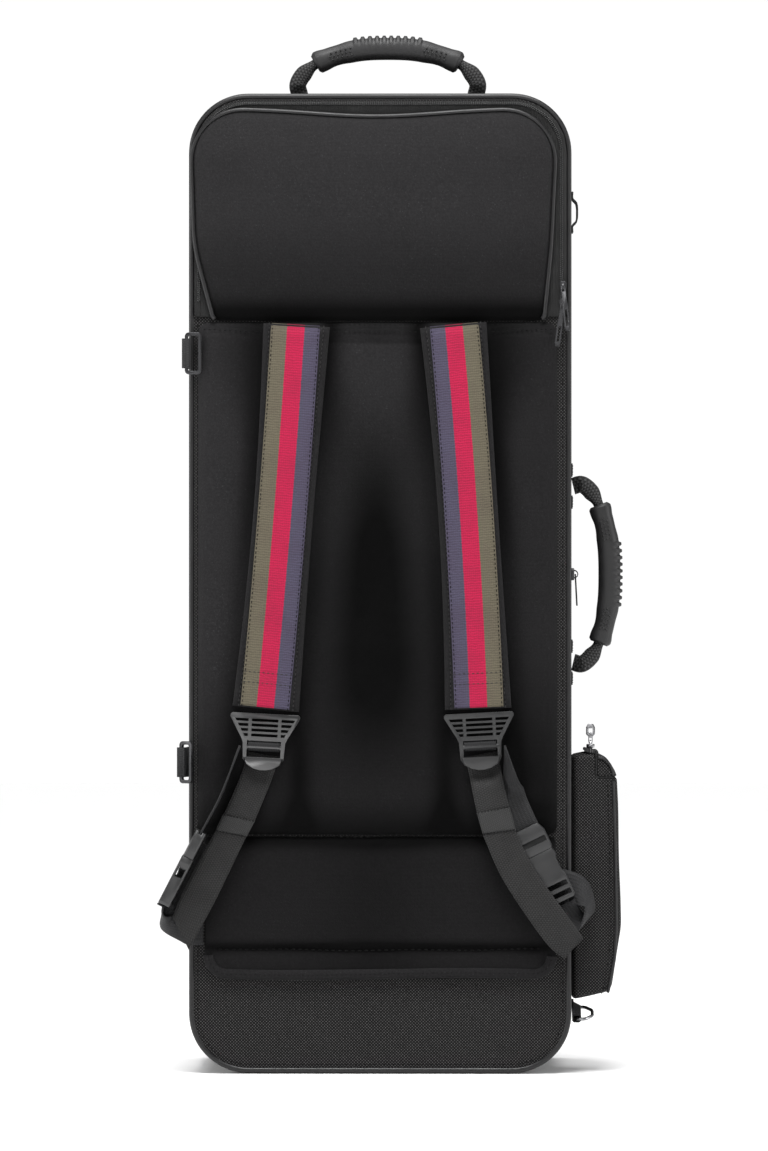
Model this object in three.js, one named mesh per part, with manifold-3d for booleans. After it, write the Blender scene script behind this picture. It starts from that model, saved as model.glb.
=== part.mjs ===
// Tenor saxophone case with backpack straps, standing on its bottom end.
// Millimetres, +Z up. The strap side faces -Y, the side handle and the side pouch are on +X.
// The origin is the middle of the shell's bottom face, where the base and the lid meet.
import * as THREE from 'three';
import { mergeVertices } from 'three/addons/utils/BufferGeometryUtils.js';
import Module from 'manifold-3d';

const wasm = await Module();
wasm.setup();

// Driving dimensions of the case
const CASE_WIDTH = 336;
const CASE_HEIGHT = 860;
const BASE_DEPTH = 110;
const LID_DEPTH = 110;
const CORNER_RADIUS = 52;
const WALL = 8;
const PIPING_RADIUS = 2.6;
const ZIP_TAPE_WIDTH = 4.6;
const ZIP_TAPE_THICKNESS = 2.2;
const FIT = 0.4;

// Driving dimensions of what is sewn on
const FLAP_TOP = 843;
const FLAP_BOTTOM = 662;
const FLAP_BULGE = 17;
const PAD_TOP = 655;
const PAD_BOTTOM = 209;
const PAD_THICKNESS = 10.5;
const LUMBAR_BOTTOM = 84;
const STRAP_PAD_WIDTH = 57;
const STRAP_WEB_WIDTH = 43;
const WEBBING_WIDTH = 29;
const WEBBING_THICKNESS = 1.7;
const POUCH_DEPTH = 44;
const POUCH_HEIGHT = 218;
const POUCH_BOTTOM = 66;

const HALF_WIDTH = CASE_WIDTH / 2;
const BACK = -BASE_DEPTH;
const FRONT = LID_DEPTH;
const BASE_RIM = -ZIP_TAPE_WIDTH - FIT;
const LID_RIM = ZIP_TAPE_WIDTH + FIT;

// Colours and finishes
const FINISH = {
  neoprene: [0x1b1b1d, 0.85, 0],
  twill: [0x222122, 0.8, 0],
  piping: [0x2d2d2f, 0.5, 0],
  tape: [0x161617, 0.8, 0],
  webbing: [0x2a2927, 0.75, 0],
  stripe: [0xb81d44, 0.8, 0],
  plastic: [0x3a3a3b, 0.45, 0],
  rubber: [0x232324, 0.6, 0],
  blackMetal: [0x1d1d1f, 0.35, 0.8],
  chrome: [0xb9babd, 0.25, 1],
  plush: [0x2b2a2e, 0.95, 0],
};

const group = new THREE.Group();

function add(name, geometry, finish, parent = group) {
  const [color, roughness, metalness] = FINISH[finish];
  const mesh = new THREE.Mesh(geometry, new THREE.MeshStandardMaterial({ color, roughness, metalness }));
  mesh.name = name;
  parent.add(mesh);
  return mesh;
}

// Joining and cutting of closed solids
function solidOf(geometry) {
  const bare = geometry.clone();
  bare.deleteAttribute('normal');
  bare.deleteAttribute('uv');
  const merged = mergeVertices(bare, 1e-3);
  const vertProperties = merged.attributes.position.array;
  const triVerts = new Uint32Array(merged.index.array);
  return new wasm.Manifold(new wasm.Mesh({ numProp: 3, vertProperties, triVerts }));
}

function geometryOf(solid) {
  const mesh = solid.getMesh();
  const geometry = new THREE.BufferGeometry();
  geometry.setAttribute('position', new THREE.BufferAttribute(new Float32Array(mesh.vertProperties), 3));
  geometry.setIndex(new THREE.BufferAttribute(new Uint32Array(mesh.triVerts), 1));
  return geometry;
}

function join(...geometries) {
  const solids = geometries.map(solidOf);
  return geometryOf(solids.reduce((sum, next) => sum.add(next)));
}

function cut(geometry, ...tools) {
  const start = solidOf(geometry);
  return geometryOf(tools.map(solidOf).reduce((left, tool) => left.subtract(tool), start));
}

// A closed surface through rings of points, all of the same count. An open run gets an end cap on each end.
// Sides listed as turned are split along their other diagonal, so that both faces of a twisted ribbon match.
function loft(rings, closed = false, turned = []) {
  const count = rings[0].length;
  const positions = rings.flat().flatMap((p) => [p.x, p.y, p.z]);
  const index = [];
  const spans = closed ? rings.length : rings.length - 1;
  for (let i = 0; i < spans; i += 1) {
    const near = i * count;
    const far = ((i + 1) % rings.length) * count;
    for (let j = 0; j < count; j += 1) {
      const k = (j + 1) % count;
      if (turned.includes(j)) {
        index.push(near + j, near + k, far + j);
        index.push(near + k, far + k, far + j);
      } else {
        index.push(near + j, near + k, far + k);
        index.push(near + j, far + k, far + j);
      }
    }
  }
  if (!closed) {
    for (const f of capFaces(rings[0])) index.push(f[2], f[1], f[0]);
    const last = (rings.length - 1) * count;
    for (const f of capFaces(rings[rings.length - 1])) index.push(last + f[0], last + f[1], last + f[2]);
  }
  const geometry = new THREE.BufferGeometry();
  geometry.setAttribute('position', new THREE.BufferAttribute(new Float32Array(positions), 3));
  geometry.setIndex(index);
  if (volumeOf(geometry) < 0) {
    for (let i = 0; i < index.length; i += 3) [index[i], index[i + 1]] = [index[i + 1], index[i]];
    geometry.setIndex(index);
  }
  return geometry;
}

// Triangles that fill one ring, worked out in the ring's own plane.
function capFaces(ring) {
  const normal = new THREE.Vector3();
  ring.forEach((p, i) => {
    const q = ring[(i + 1) % ring.length];
    normal.add(new THREE.Vector3().crossVectors(p, q));
  });
  normal.normalize();
  const across = Math.abs(normal.x) < 0.7 ? new THREE.Vector3(1, 0, 0) : new THREE.Vector3(0, 0, 1);
  const u = new THREE.Vector3().crossVectors(across, normal).normalize();
  const v = new THREE.Vector3().crossVectors(normal, u);
  const flat = ring.map((p) => new THREE.Vector2(p.dot(u), p.dot(v)));
  return THREE.ShapeUtils.triangulateShape(flat, []);
}

function volumeOf(geometry) {
  const p = geometry.attributes.position;
  const index = geometry.index.array;
  const [a, b, c] = [new THREE.Vector3(), new THREE.Vector3(), new THREE.Vector3()];
  let sum = 0;
  for (let i = 0; i < index.length; i += 3) {
    a.fromBufferAttribute(p, index[i]);
    b.fromBufferAttribute(p, index[i + 1]);
    c.fromBufferAttribute(p, index[i + 2]);
    sum += a.dot(b.cross(c)) / 6;
  }
  return sum;
}

// Outlines are lists of 2-D points, x across and y up, that run anticlockwise.
function rectangle(left, bottom, right, top) {
  return [[left, bottom], [right, bottom], [right, top], [left, top]].map(([x, y]) => new THREE.Vector2(x, y));
}

// Moves each side of a convex polygon inwards by a distance.
function inset(points, distance) {
  const count = points.length;
  return points.map((p, i) => {
    const before = points[(i + count - 1) % count];
    const after = points[(i + 1) % count];
    const into = p.clone().sub(before).normalize();
    const out = after.clone().sub(p).normalize();
    const turn = into.x * out.y - into.y * out.x;
    const along = into.clone().sub(out).multiplyScalar(-distance / turn);
    return p.clone().add(along);
  });
}

// Rounds the corners of a polygon, with the same number of points whatever the radius.
function rounded(points, radii, steps = 6, edgeSteps = 1) {
  const count = points.length;
  const out = [];
  const corners = points.map((p, i) => {
    const radius = Math.max(Array.isArray(radii) ? radii[i] : radii, 0.05);
    const into = points[(i + count - 1) % count].clone().sub(p).normalize();
    const away = points[(i + 1) % count].clone().sub(p).normalize();
    const half = Math.acos(THREE.MathUtils.clamp(into.dot(away), -1, 1)) / 2;
    const reach = radius / Math.tan(half);
    const centre = p.clone().add(into.clone().add(away).normalize().multiplyScalar(radius / Math.sin(half)));
    const start = p.clone().addScaledVector(into, reach).sub(centre).angle();
    const sweep = Math.PI - 2 * half;
    return Array.from({ length: steps + 1 }, (_, k) => {
      const angle = start + (sweep * k) / steps;
      return new THREE.Vector2(centre.x + radius * Math.cos(angle), centre.y + radius * Math.sin(angle));
    });
  });
  corners.forEach((corner, i) => {
    out.push(...corner);
    const next = corners[(i + 1) % count][0];
    const last = corner[corner.length - 1];
    for (let k = 1; k < edgeSteps; k += 1) out.push(last.clone().lerp(next, k / edgeSteps));
  });
  return out;
}

// A solid whose rings stand at depths along Y, each ring an outline drawn in X and Z.
function stack(levels, closed = false) {
  return loft(levels.map(([outline, y]) => outline.map((p) => place(p, y))), closed);
}

function place(point, y) {
  const depth = typeof y === 'function' ? y(point.x, point.y) : y;
  return new THREE.Vector3(point.x, depth, point.y);
}

// A plate of a shape drawn in X and Z, from a depth to another along Y.
function plate(shape, near, far, curveSegments = 6) {
  const depth = far - near;
  const geometry = new THREE.ExtrudeGeometry(shape, { depth, bevelEnabled: false, curveSegments });
  geometry.rotateX(Math.PI / 2);
  geometry.translate(0, far, 0);
  return geometry;
}

function box(low, high) {
  const size = low.map((value, i) => high[i] - value);
  const geometry = new THREE.BoxGeometry(...size);
  geometry.translate(...low.map((value, i) => (value + high[i]) / 2));
  return geometry;
}

// A band that follows a path. The section is a list of [outwards, sideways] offsets.
// Each frame holds a point, the direction outwards and the direction sideways.
function sweep(frames, section, closed = false) {
  const ring = (frame) => section.map(([out, side]) =>
    frame.point.clone().addScaledVector(frame.out, out).addScaledVector(frame.side, side));
  return loft(frames.map(ring), closed);
}

function circleSection(radius, sides, phase = 0) {
  return Array.from({ length: sides }, (_, i) => {
    const angle = phase + (2 * Math.PI * i) / sides;
    return [radius * Math.cos(angle), radius * Math.sin(angle)];
  });
}

function rectangleSection(outHalf, sideHalf) {
  return [[outHalf, -sideHalf], [outHalf, sideHalf], [-outHalf, sideHalf], [-outHalf, -sideHalf]];
}

// Frames along an outline at one depth: outwards lies in the outline's plane, sideways is +Y.
function outlineFrames(outline, y, closed = true) {
  const count = outline.length;
  return outline.map((p, i) => {
    const before = closed ? outline[(i + count - 1) % count] : outline[Math.max(i - 1, 0)];
    const after = closed ? outline[(i + 1) % count] : outline[Math.min(i + 1, count - 1)];
    const a = p.clone().sub(before);
    const b = after.clone().sub(p);
    const ahead = a.normalize().add(b.normalize()).normalize();
    return {
      point: new THREE.Vector3(p.x, y, p.y),
      out: new THREE.Vector3(ahead.y, 0, -ahead.x),
      side: new THREE.Vector3(0, 1, 0),
    };
  });
}

// Shells of the base and the lid
const CASE_SQUARE = rectangle(-HALF_WIDTH, 0, HALF_WIDTH, CASE_HEIGHT);

function caseOutline(depthIn) {
  return rounded(inset(CASE_SQUARE, depthIn), CORNER_RADIUS - depthIn, 7);
}

// The rolled edge has a seat for the piping; the inner face is one wall in.
function shellGeometry(outer, rim) {
  const inwards = Math.sign(rim - outer);
  const seat = PIPING_RADIUS * 2 + FIT;
  return stack([
    [caseOutline(seat + 1.4), outer],
    [caseOutline(seat), outer + inwards * 0.9],
    [caseOutline(seat), outer + inwards * seat * 0.55],
    [caseOutline(seat * 0.72), outer + inwards * seat * 0.9],
    [caseOutline(seat * 0.35), outer + inwards * (seat + 0.4)],
    [caseOutline(0), outer + inwards * (seat + 0.6)],
    [caseOutline(0), rim - inwards * 1.5],
    [caseOutline(1.2), rim],
    [caseOutline(WALL - 1), rim],
    [caseOutline(WALL), rim - inwards],
    [caseOutline(WALL), outer + inwards * (WALL + 5)],
    [caseOutline(WALL + 5), outer + inwards * WALL],
  ]);
}

function edgePiping(outer, inwards) {
  const middle = outer + inwards * PIPING_RADIUS;
  const sides = 8;
  const section = circleSection(PIPING_RADIUS, sides, Math.PI / sides);
  return sweep(outlineFrames(caseOutline(PIPING_RADIUS + 0.02), middle), section, true);
}

add('base_shell', shellGeometry(BACK, BASE_RIM), 'twill');
add('base_piping', edgePiping(BACK, 1), 'piping');
add('lid_shell', shellGeometry(FRONT, LID_RIM), 'twill');
add('lid_piping', edgePiping(FRONT, -1), 'piping');

// Zip tapes run from the hinge's lower end round the bottom, the right side and the top.
const HINGE_END = 90;

function zipPath() {
  const outline = caseOutline(ZIP_TAPE_THICKNESS / 2 + 0.5);
  const start = new THREE.Vector2(outline[0].x, HINGE_END);
  const end = new THREE.Vector2(outline[0].x, CASE_HEIGHT - HINGE_END);
  return [start, ...outline, end];
}

function zipTape(direction) {
  const half = ZIP_TAPE_THICKNESS / 2;
  const coil = 0.45;
  const near = 0.3;
  const far = ZIP_TAPE_WIDTH - 0.1;
  const section = [
    [-half, near], [-half, far], [half * 0.4, far], [half * 0.4, near + 2.2],
    [half + coil * 0.6, near + 1.9], [half + coil, near + 1.1], [half + coil * 0.6, near],
  ].map(([out, side]) => [out, side * direction]);
  return sweep(outlineFrames(zipPath(), 0, false), section);
}

add('base_zip_tape', zipTape(-1), 'tape');
add('lid_zip_tape', zipTape(1), 'tape');

// The fabric hinge is a strip down the left side, one half on each shell.
function hingeStrip(direction) {
  const x = -HALF_WIDTH + 1.6;
  const near = direction * 0.3;
  const far = direction * (ZIP_TAPE_WIDTH - 0.1);
  return box([x - 1.1, Math.min(near, far), HINGE_END + 2], [x + 1.1, Math.max(near, far), CASE_HEIGHT - HINGE_END - 2]);
}

add('base_hinge_tape', hingeStrip(-1), 'tape');
add('lid_hinge_tape', hingeStrip(1), 'tape');

// Foam bed with the instrument's recess: body tube on the right, bow at the bottom, bell on the left
const BED_FACE = -2;
const BED_BACK = BACK + WALL + FIT;
const BODY_X = 62;
const BELL_X = -45;
const BELL_MOUTH_X = -64;
const BOW_Z = 152;
const BOW_TUBE = 48;
const BELL_MOUTH_Z = 408;
const BELL_MOUTH_RADIUS = 80;
const BODY_TOP_Z = 836;
const BODY_TOP_RADIUS = 36;

function lathe(profile, segments) {
  const geometry = new THREE.LatheGeometry(profile.map(([r, h]) => new THREE.Vector2(r, h)), segments);
  geometry.rotateX(Math.PI / 2);
  geometry.scale(1, -1, 1);
  return flipped(geometry);
}

// A mirrored geometry has its faces turned back outwards.
function flipped(geometry) {
  const index = Array.from(geometry.index.array);
  for (let i = 0; i < index.length; i += 3) [index[i], index[i + 1]] = [index[i + 1], index[i]];
  geometry.setIndex(index);
  return geometry;
}

function bodyTubeTool() {
  const length = BODY_TOP_Z - BOW_Z;
  const tube = lathe([[0, 0], [BOW_TUBE, 0], [BODY_TOP_RADIUS, length], [0, length]], 20);
  return tube.translate(BODY_X, BED_FACE, BOW_Z);
}

function bowTool() {
  const middle = (BODY_X + BELL_X) / 2;
  const bend = (BODY_X - BELL_X) / 2;
  const steps = 9;
  const frames = Array.from({ length: steps + 1 }, (_, i) => {
    const angle = Math.PI + (Math.PI * i) / steps;
    const out = new THREE.Vector3(Math.cos(angle), 0, Math.sin(angle));
    const point = new THREE.Vector3(middle, BED_FACE, BOW_Z + 0.5).addScaledVector(out, bend);
    return { point, out, side: new THREE.Vector3(0, 1, 0) };
  });
  return sweep(frames, circleSection(BOW_TUBE, 20));
}

function bellTool() {
  const length = BELL_MOUTH_Z - BOW_Z;
  const flare = [0, 0.35, 0.65, 0.85, 1].map((t) => [
    BOW_TUBE + (BELL_MOUTH_RADIUS - BOW_TUBE) * t ** 2.6,
    length * t,
  ]);
  const bell = lathe([[0, 0], ...flare, [0, length]], 20);
  const lean = Math.atan2(BELL_X - BELL_MOUTH_X, length);
  return bell.rotateY(-lean).translate(BELL_X, BED_FACE, BOW_Z);
}

// Compartments above the bell: one curved to the neck, one box with a hinged lid
const BOX_LEFT = -150;
const BOX_RIGHT = -74;
const BOX_BOTTOM = 472;
const BOX_TOP = 806;
const BOX_LID_THICKNESS = 6;

function neckTool() {
  const bend = 74;
  const steps = 6;
  const frames = Array.from({ length: steps + 1 }, (_, i) => {
    const angle = THREE.MathUtils.degToRad(118 - (136 * i) / steps);
    const out = new THREE.Vector3(Math.cos(angle), 0, Math.sin(angle));
    const point = new THREE.Vector3(-58, BED_FACE, 690).addScaledVector(out, bend);
    point.x = Math.min(point.x, -20);
    return { point, out, side: new THREE.Vector3(0, 1, 0) };
  });
  return sweep(frames.filter((f) => f.out.x > -0.1), circleSection(27, 12));
}

function mouthpieceTool() {
  const reach = 44;
  const hole = rounded(rectangle(-60, 478, -2, 600), 18, 4);
  return stack([[hole, BED_FACE - reach], [hole, BED_FACE + 4]]);
}

function boxTools() {
  const well = rounded(rectangle(BOX_LEFT + 5, BOX_BOTTOM + 6, BOX_RIGHT - 5, BOX_TOP - 6), 10, 3);
  const seat = rounded(rectangle(BOX_LEFT, BOX_BOTTOM, BOX_RIGHT, BOX_TOP), 5, 3);
  return [
    stack([[well, BED_FACE - 70], [well, BED_FACE + 4]]),
    stack([[seat, BED_FACE - BOX_LID_THICKNESS - 0.8], [seat, BED_FACE + 4]]),
  ];
}

function bedFoam() {
  const block = stack([
    [caseOutline(WALL + 6), BED_BACK],
    [caseOutline(WALL + FIT), BED_BACK + 6],
    [caseOutline(WALL + FIT), BED_FACE - 2],
    [caseOutline(WALL + FIT + 2), BED_FACE],
  ]);
  return cut(block, bodyTubeTool(), bowTool(), bellTool(), neckTool(), mouthpieceTool(), ...boxTools());
}

add('bed_foam', bedFoam(), 'plush');

// The box lid is padded, with a pull loop on its free edge.
function accessoryLid() {
  const panel = rectangle(BOX_LEFT + 1, BOX_BOTTOM + 1, BOX_RIGHT - 1, BOX_TOP - 1);
  const back = BED_FACE - BOX_LID_THICKNESS;
  const pad = stack([
    [rounded(inset(panel, 1), 4, 3), back],
    [rounded(panel, 5, 3), back + 1],
    [rounded(panel, 5, 3), BED_FACE - 2],
    [rounded(inset(panel, 2), 4, 3), BED_FACE],
    [rounded(inset(panel, 12), 4, 3), BED_FACE + 1.5],
  ]);
  const middle = (BOX_BOTTOM + BOX_TOP) / 2;
  const loop = box([BOX_RIGHT - 20, BED_FACE + 0.4, middle - 8], [BOX_RIGHT + 6, BED_FACE + 2.8, middle + 8]);
  return join(pad, loop);
}

add('accessory_lid', accessoryLid(), 'plush');

// A strap across the body tube holds the instrument down.
const BODY_STRAP_Z = 620;

function bodyStrap() {
  const left = BODY_X - 46;
  const right = BODY_X + 50;
  const rise = 5;
  const steps = 8;
  const frames = Array.from({ length: steps + 1 }, (_, i) => {
    const t = i / steps;
    const x = right + (left - right) * t;
    const y = BED_FACE + 1.6 + rise * Math.sin(Math.PI * t);
    return { point: new THREE.Vector3(x, y, BODY_STRAP_Z), out: new THREE.Vector3(0, 1, 0), side: new THREE.Vector3(0, 0, 1) };
  });
  return sweep(frames, rectangleSection(1, 19));
}

add('body_strap', bodyStrap(), 'webbing');

// Padded lining of the lid, with one bar that is shaped to the body tube and the bell
const LINING_THICKNESS = 9;
const BAR_Z = 446;

function lidLining() {
  const outer = FRONT - WALL - FIT;
  const skin = WALL + FIT;
  const dish = stack([
    [caseOutline(skin + 6), outer],
    [caseOutline(skin), outer - 6],
    [caseOutline(skin), LID_RIM + 5],
    [caseOutline(skin + 2), LID_RIM + 3],
    [caseOutline(skin + LINING_THICKNESS - 2), LID_RIM + 3],
    [caseOutline(skin + LINING_THICKNESS), LID_RIM + 6],
    [caseOutline(skin + LINING_THICKNESS), outer - LINING_THICKNESS - 8],
    [caseOutline(skin + LINING_THICKNESS + 8), outer - LINING_THICKNESS],
  ]);
  const side = HALF_WIDTH - skin - LINING_THICKNESS + 2;
  const bar = box([-side, 36, BAR_Z - 13], [side, outer - LINING_THICKNESS + 2, BAR_Z + 13]);
  const saddles = [[BODY_X, 60], [BELL_MOUTH_X, 74]].map(([x, radius]) => {
    const round = new THREE.CylinderGeometry(radius, radius, 60, 20);
    return round.rotateX(Math.PI / 2).translate(x, BED_FACE, BAR_Z);
  });
  return join(dish, cut(bar, ...saddles));
}

add('lid_lining', lidLining(), 'plush');

// Back pocket: a bulging flap that opens at its zip and folds down on its lower edge
const FLAP_BEAD = 2.2;
const FLAP_RIM = BACK - 2.9;
const ZIP_RUN_X = 160.3;

const FLAP_EDGE = [
  [-146, FLAP_BOTTOM], [144, FLAP_BOTTOM], [150, 725], [156, FLAP_TOP + 3], [-167, FLAP_TOP + 3], [-163, 725],
].map(([x, z]) => new THREE.Vector2(x, z));

function flapOutline(distance) {
  const radii = [7, 7, 160, 46, 46, 160].map((radius) => Math.max(radius - distance, 2));
  return rounded(inset(FLAP_EDGE, distance), radii, 4, 2);
}

// The bulge fades towards the hinge, and sags a little in the middle of its top.
function flapFront(height) {
  return (x, z) => {
    const fade = THREE.MathUtils.smoothstep(z, FLAP_BOTTOM - 8, FLAP_BOTTOM + 85);
    return FLAP_RIM - 2.2 - height * (0.08 + 0.92 * fade);
  };
}

function pocketFlap() {
  const edge = FLAP_BEAD * 2 + FIT;
  const skin = 4;
  return stack([
    [flapOutline(edge + 50), flapFront(FLAP_BULGE - skin)],
    [flapOutline(edge + 22), flapFront(FLAP_BULGE * 0.86 - skin)],
    [flapOutline(edge + skin + 4), flapFront(FLAP_BULGE * 0.5 - skin)],
    [flapOutline(edge + skin), FLAP_RIM],
    [flapOutline(edge), FLAP_RIM],
    [flapOutline(edge), flapFront(FLAP_BULGE * 0.12)],
    [flapOutline(edge + 2.5), flapFront(FLAP_BULGE * 0.38)],
    [flapOutline(edge + 9), flapFront(FLAP_BULGE * 0.66)],
    [flapOutline(edge + 24), flapFront(FLAP_BULGE * 0.9)],
    [flapOutline(edge + 50), flapFront(FLAP_BULGE)],
  ]);
}

// The flap's bead leaves out the hinged lower edge.
function flapPiping() {
  const outline = flapOutline(FLAP_BEAD);
  const firstSide = 11;
  const run = [...outline.slice(firstSide), outline[0]];
  return sweep(outlineFrames(run, FLAP_RIM - FLAP_BEAD, false), circleSection(FLAP_BEAD, 8));
}

function pathOf(points) {
  const path = new THREE.Shape();
  path.setFromPoints(points);
  return path;
}

// Flat zip tape round the pocket's mouth, with the coil standing on it.
function pocketZip() {
  const outer = rounded(rectangle(-163, FLAP_BOTTOM + 2, 163.6, 853), [3, 3, 44, 44], 5);
  const inner = flapOutline(12);
  const shape = pathOf(outer);
  shape.holes.push(pathOf(inner));
  const tape = plate(shape, BACK - 2.1, BACK - 0.3);
  const coilLine = rounded(rectangle(-ZIP_RUN_X + 2, 600, ZIP_RUN_X, 850), [3, 3, 41, 41], 5);
  const run = coilLine.slice(11);
  run[0].y = FLAP_BOTTOM + 3;
  run.push(new THREE.Vector2(-ZIP_RUN_X + 2, FLAP_BOTTOM + 3));
  const coil = sweep(outlineFrames(run, BACK - 1.8, false), circleSection(0.9, 6, Math.PI / 6));
  return join(tape, coil);
}

add('pocket_zip_tape', pocketZip(), 'tape');
add('pocket_flap', pocketFlap(), 'neoprene');
add('pocket_flap_piping', flapPiping(), 'piping');

// Back pad with a soft valley down the middle, and the lumbar flap under it
const PAD_LEFT = -160;
const PAD_RIGHT = 155.5;

function quiltLevels(edges, radii, thickness, valley) {
  const back = BACK - 0.3;
  const rise = [[0, 0.25], [0.8, 0.5], [3, 0.72], [8, 0.88], [18, 0.97], [34, 1], [60, 1], [90, 1], [125, 1], [148, 1]];
  const fits = rise.filter(([d]) => d < Math.min(edges[1].x - edges[0].x, edges[2].y - edges[1].y) / 2 - 4);
  const outline = (d) => rounded(inset(edges, d), radii.map((r) => Math.max(r - d, 1.5)), 3, 6);
  const front = (share) => (x, z) => back - thickness * share + valley(x, z);
  return [[outline(0), back], ...fits.map(([d, share]) => [outline(d), front(share)])];
}

function padValley(x, z) {
  const across = Math.exp(-(((x + 4) / 34) ** 2));
  const along = THREE.MathUtils.smoothstep(z, 215, 330) * (1 - THREE.MathUtils.smoothstep(z, 560, 650));
  return 6 * across * along;
}

const padEdges = rectangle(PAD_LEFT, PAD_BOTTOM, PAD_RIGHT, PAD_TOP);
add('back_pad', stack(quiltLevels(padEdges, [8, 8, 12, 12], PAD_THICKNESS, padValley)), 'neoprene');

const lumbarEdges = rectangle(-154, LUMBAR_BOTTOM, 154, PAD_BOTTOM - 1);
add('lumbar_flap', stack(quiltLevels(lumbarEdges, [19, 19, 3, 3], 8.5, () => 0)), 'neoprene');

// Shoulder straps. Each runs down and outwards from the pad's top hem.
const STRAP_TOP = PAD_TOP + 1;
const STRAP_LENGTH = 336;
const STRAP_BACK = BACK - 0.3 - PAD_THICKNESS - 0.5;
const STRAP_PAD_THICKNESS = 8;
const SIDES = {
  left: { top: -72.9, lean: -20.8, bow: -6.3 },
  right: { top: 64.1, lean: 31.2, bow: -9.3 },
};

function strapPoint(side, t, y) {
  return new THREE.Vector3(side.top + side.lean * t + side.bow * t * t, y, STRAP_TOP - STRAP_LENGTH * t);
}

// The direction across the strap, square to its run.
function strapAcross(side, t) {
  const slope = (side.lean + 2 * side.bow * t) / STRAP_LENGTH;
  return new THREE.Vector3(1, 0, slope).normalize();
}

function strapStations(side, y, steps, curl) {
  const straight = Array.from({ length: steps + 1 }, (_, i) => {
    const t = 0.035 + (0.965 * i) / steps;
    return { point: strapPoint(side, t, y), out: new THREE.Vector3(0, -1, 0), side: strapAcross(side, t), t };
  });
  return curl ? [...strapCurl(side, y), ...straight] : straight;
}

// Over the pad's top edge the strap turns back into the seam.
function strapCurl(side, y) {
  const bend = 7;
  const across = strapAcross(side, 0);
  return [75, 50, 25].map((degrees) => {
    const angle = THREE.MathUtils.degToRad(degrees);
    const out = new THREE.Vector3(0, -Math.cos(angle), Math.sin(angle));
    const centre = strapPoint(side, 0, y + bend).add(new THREE.Vector3(0, 0, 1.5 - bend));
    return { point: centre.addScaledVector(out, bend), out, side: across, t: 0 };
  });
}

function padWidth(t) {
  return STRAP_PAD_WIDTH - 6 * Math.sin(Math.PI * t);
}

function strapPad(side) {
  const half = STRAP_PAD_THICKNESS / 2;
  const rings = strapStations(side, STRAP_BACK - half, 10, true).map((frame) => {
    const w = padWidth(frame.t) / 2;
    const h = frame.t > 0 ? half : half * 0.6;
    const section = [
      [-h, -w + 3], [-h * 0.3, -w], [h * 0.3, -w], [h * 0.8, -w + 4], [h, -w + 8],
      [h, w - 8], [h * 0.8, w - 4], [h * 0.3, w], [-h * 0.3, w], [-h, w - 3],
    ];
    return section.map(([out, across]) =>
      frame.point.clone().addScaledVector(frame.out, out).addScaledVector(frame.side, across));
  });
  return loft(rings);
}

function stripedWebbing(side) {
  const y = STRAP_BACK - STRAP_PAD_THICKNESS - 0.3 - WEBBING_THICKNESS / 2;
  const section = rectangleSection(WEBBING_THICKNESS / 2, STRAP_WEB_WIDTH / 2);
  return sweep(strapStations(side, y, 8, false), section);
}

// Ladder lock: a moulded frame with a slotted grille, a web window with its bar, and a thumb lip
const LOCK_TOP_HALF = 30.5;
const LOCK_NECK_HALF = 18.6;
const LOCK_THICKNESS = 3.8;
const LOCK_WINDOW_HALF = WEBBING_WIDTH / 2 + 0.4;

function mirroredOutline(rightSide) {
  const right = rightSide.map(([x, z]) => new THREE.Vector2(x, z));
  const left = rightSide.map(([x, z]) => new THREE.Vector2(-x, z)).reverse();
  return [...right, ...left];
}

function grilleSlots() {
  const rows = [-4.6, -9, -13.4, -17.8];
  const tall = 2.5;
  const border = 3.4;
  const edge = (z) => LOCK_TOP_HALF + (z + 3.5) * 0.58 - border;
  return rows.flatMap((z) => {
    const centre = rectangle(-11.6, z - tall, 11.6, z);
    const side = [[14.4, z - tall], [edge(z - tall), z - tall], [edge(z), z], [14.4, z]];
    const right = side.map(([x, height]) => new THREE.Vector2(x, height));
    const left = side.map(([x, height]) => new THREE.Vector2(-x, height)).reverse();
    return [centre, right, left];
  });
}

function ladderLock() {
  const outline = mirroredOutline([
    [28.8, 0], [LOCK_TOP_HALF, -1.4], [LOCK_TOP_HALF, -3.5], [LOCK_NECK_HALF + 1.6, -21.5],
    [LOCK_NECK_HALF, -25.5], [LOCK_NECK_HALF - 0.8, -40], [14.8, -45.2], [8.4, -48.6], [2.4, -49.8],
  ]);
  const windowHole = rectangle(-LOCK_WINDOW_HALF, -38.4, LOCK_WINDOW_HALF, -24);
  const half = LOCK_THICKNESS / 2;
  const holes = [...grilleSlots(), windowHole].map((hole) => plate(pathOf(hole), -half - 1, half + 1));
  const frame = cut(plate(pathOf(outline), -half, half), ...holes);
  const bar = new THREE.CylinderGeometry(2, 2, LOCK_WINDOW_HALF * 2 + 4, 10).rotateZ(Math.PI / 2);
  bar.translate(0, 0, -29.6);
  return join(frame, bar, thumbLip(half));
}

// The lip thickens and turns outwards below the window.
function thumbLip(half) {
  const crescent = (grow, shift) => {
    const right = [[16.6 + grow, -38.7], [14.4 + grow, -44.6], [8.2 + grow, -48.2], [2.3, -49.4]];
    return mirroredOutline(right.map(([x, z]) => [x, z + shift]));
  };
  return stack([
    [crescent(0, 0), -half - 4.2],
    [crescent(0.8, 0.1), -half - 2.6],
    [crescent(0.6, 0), half * 0.5],
  ]);
}

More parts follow.
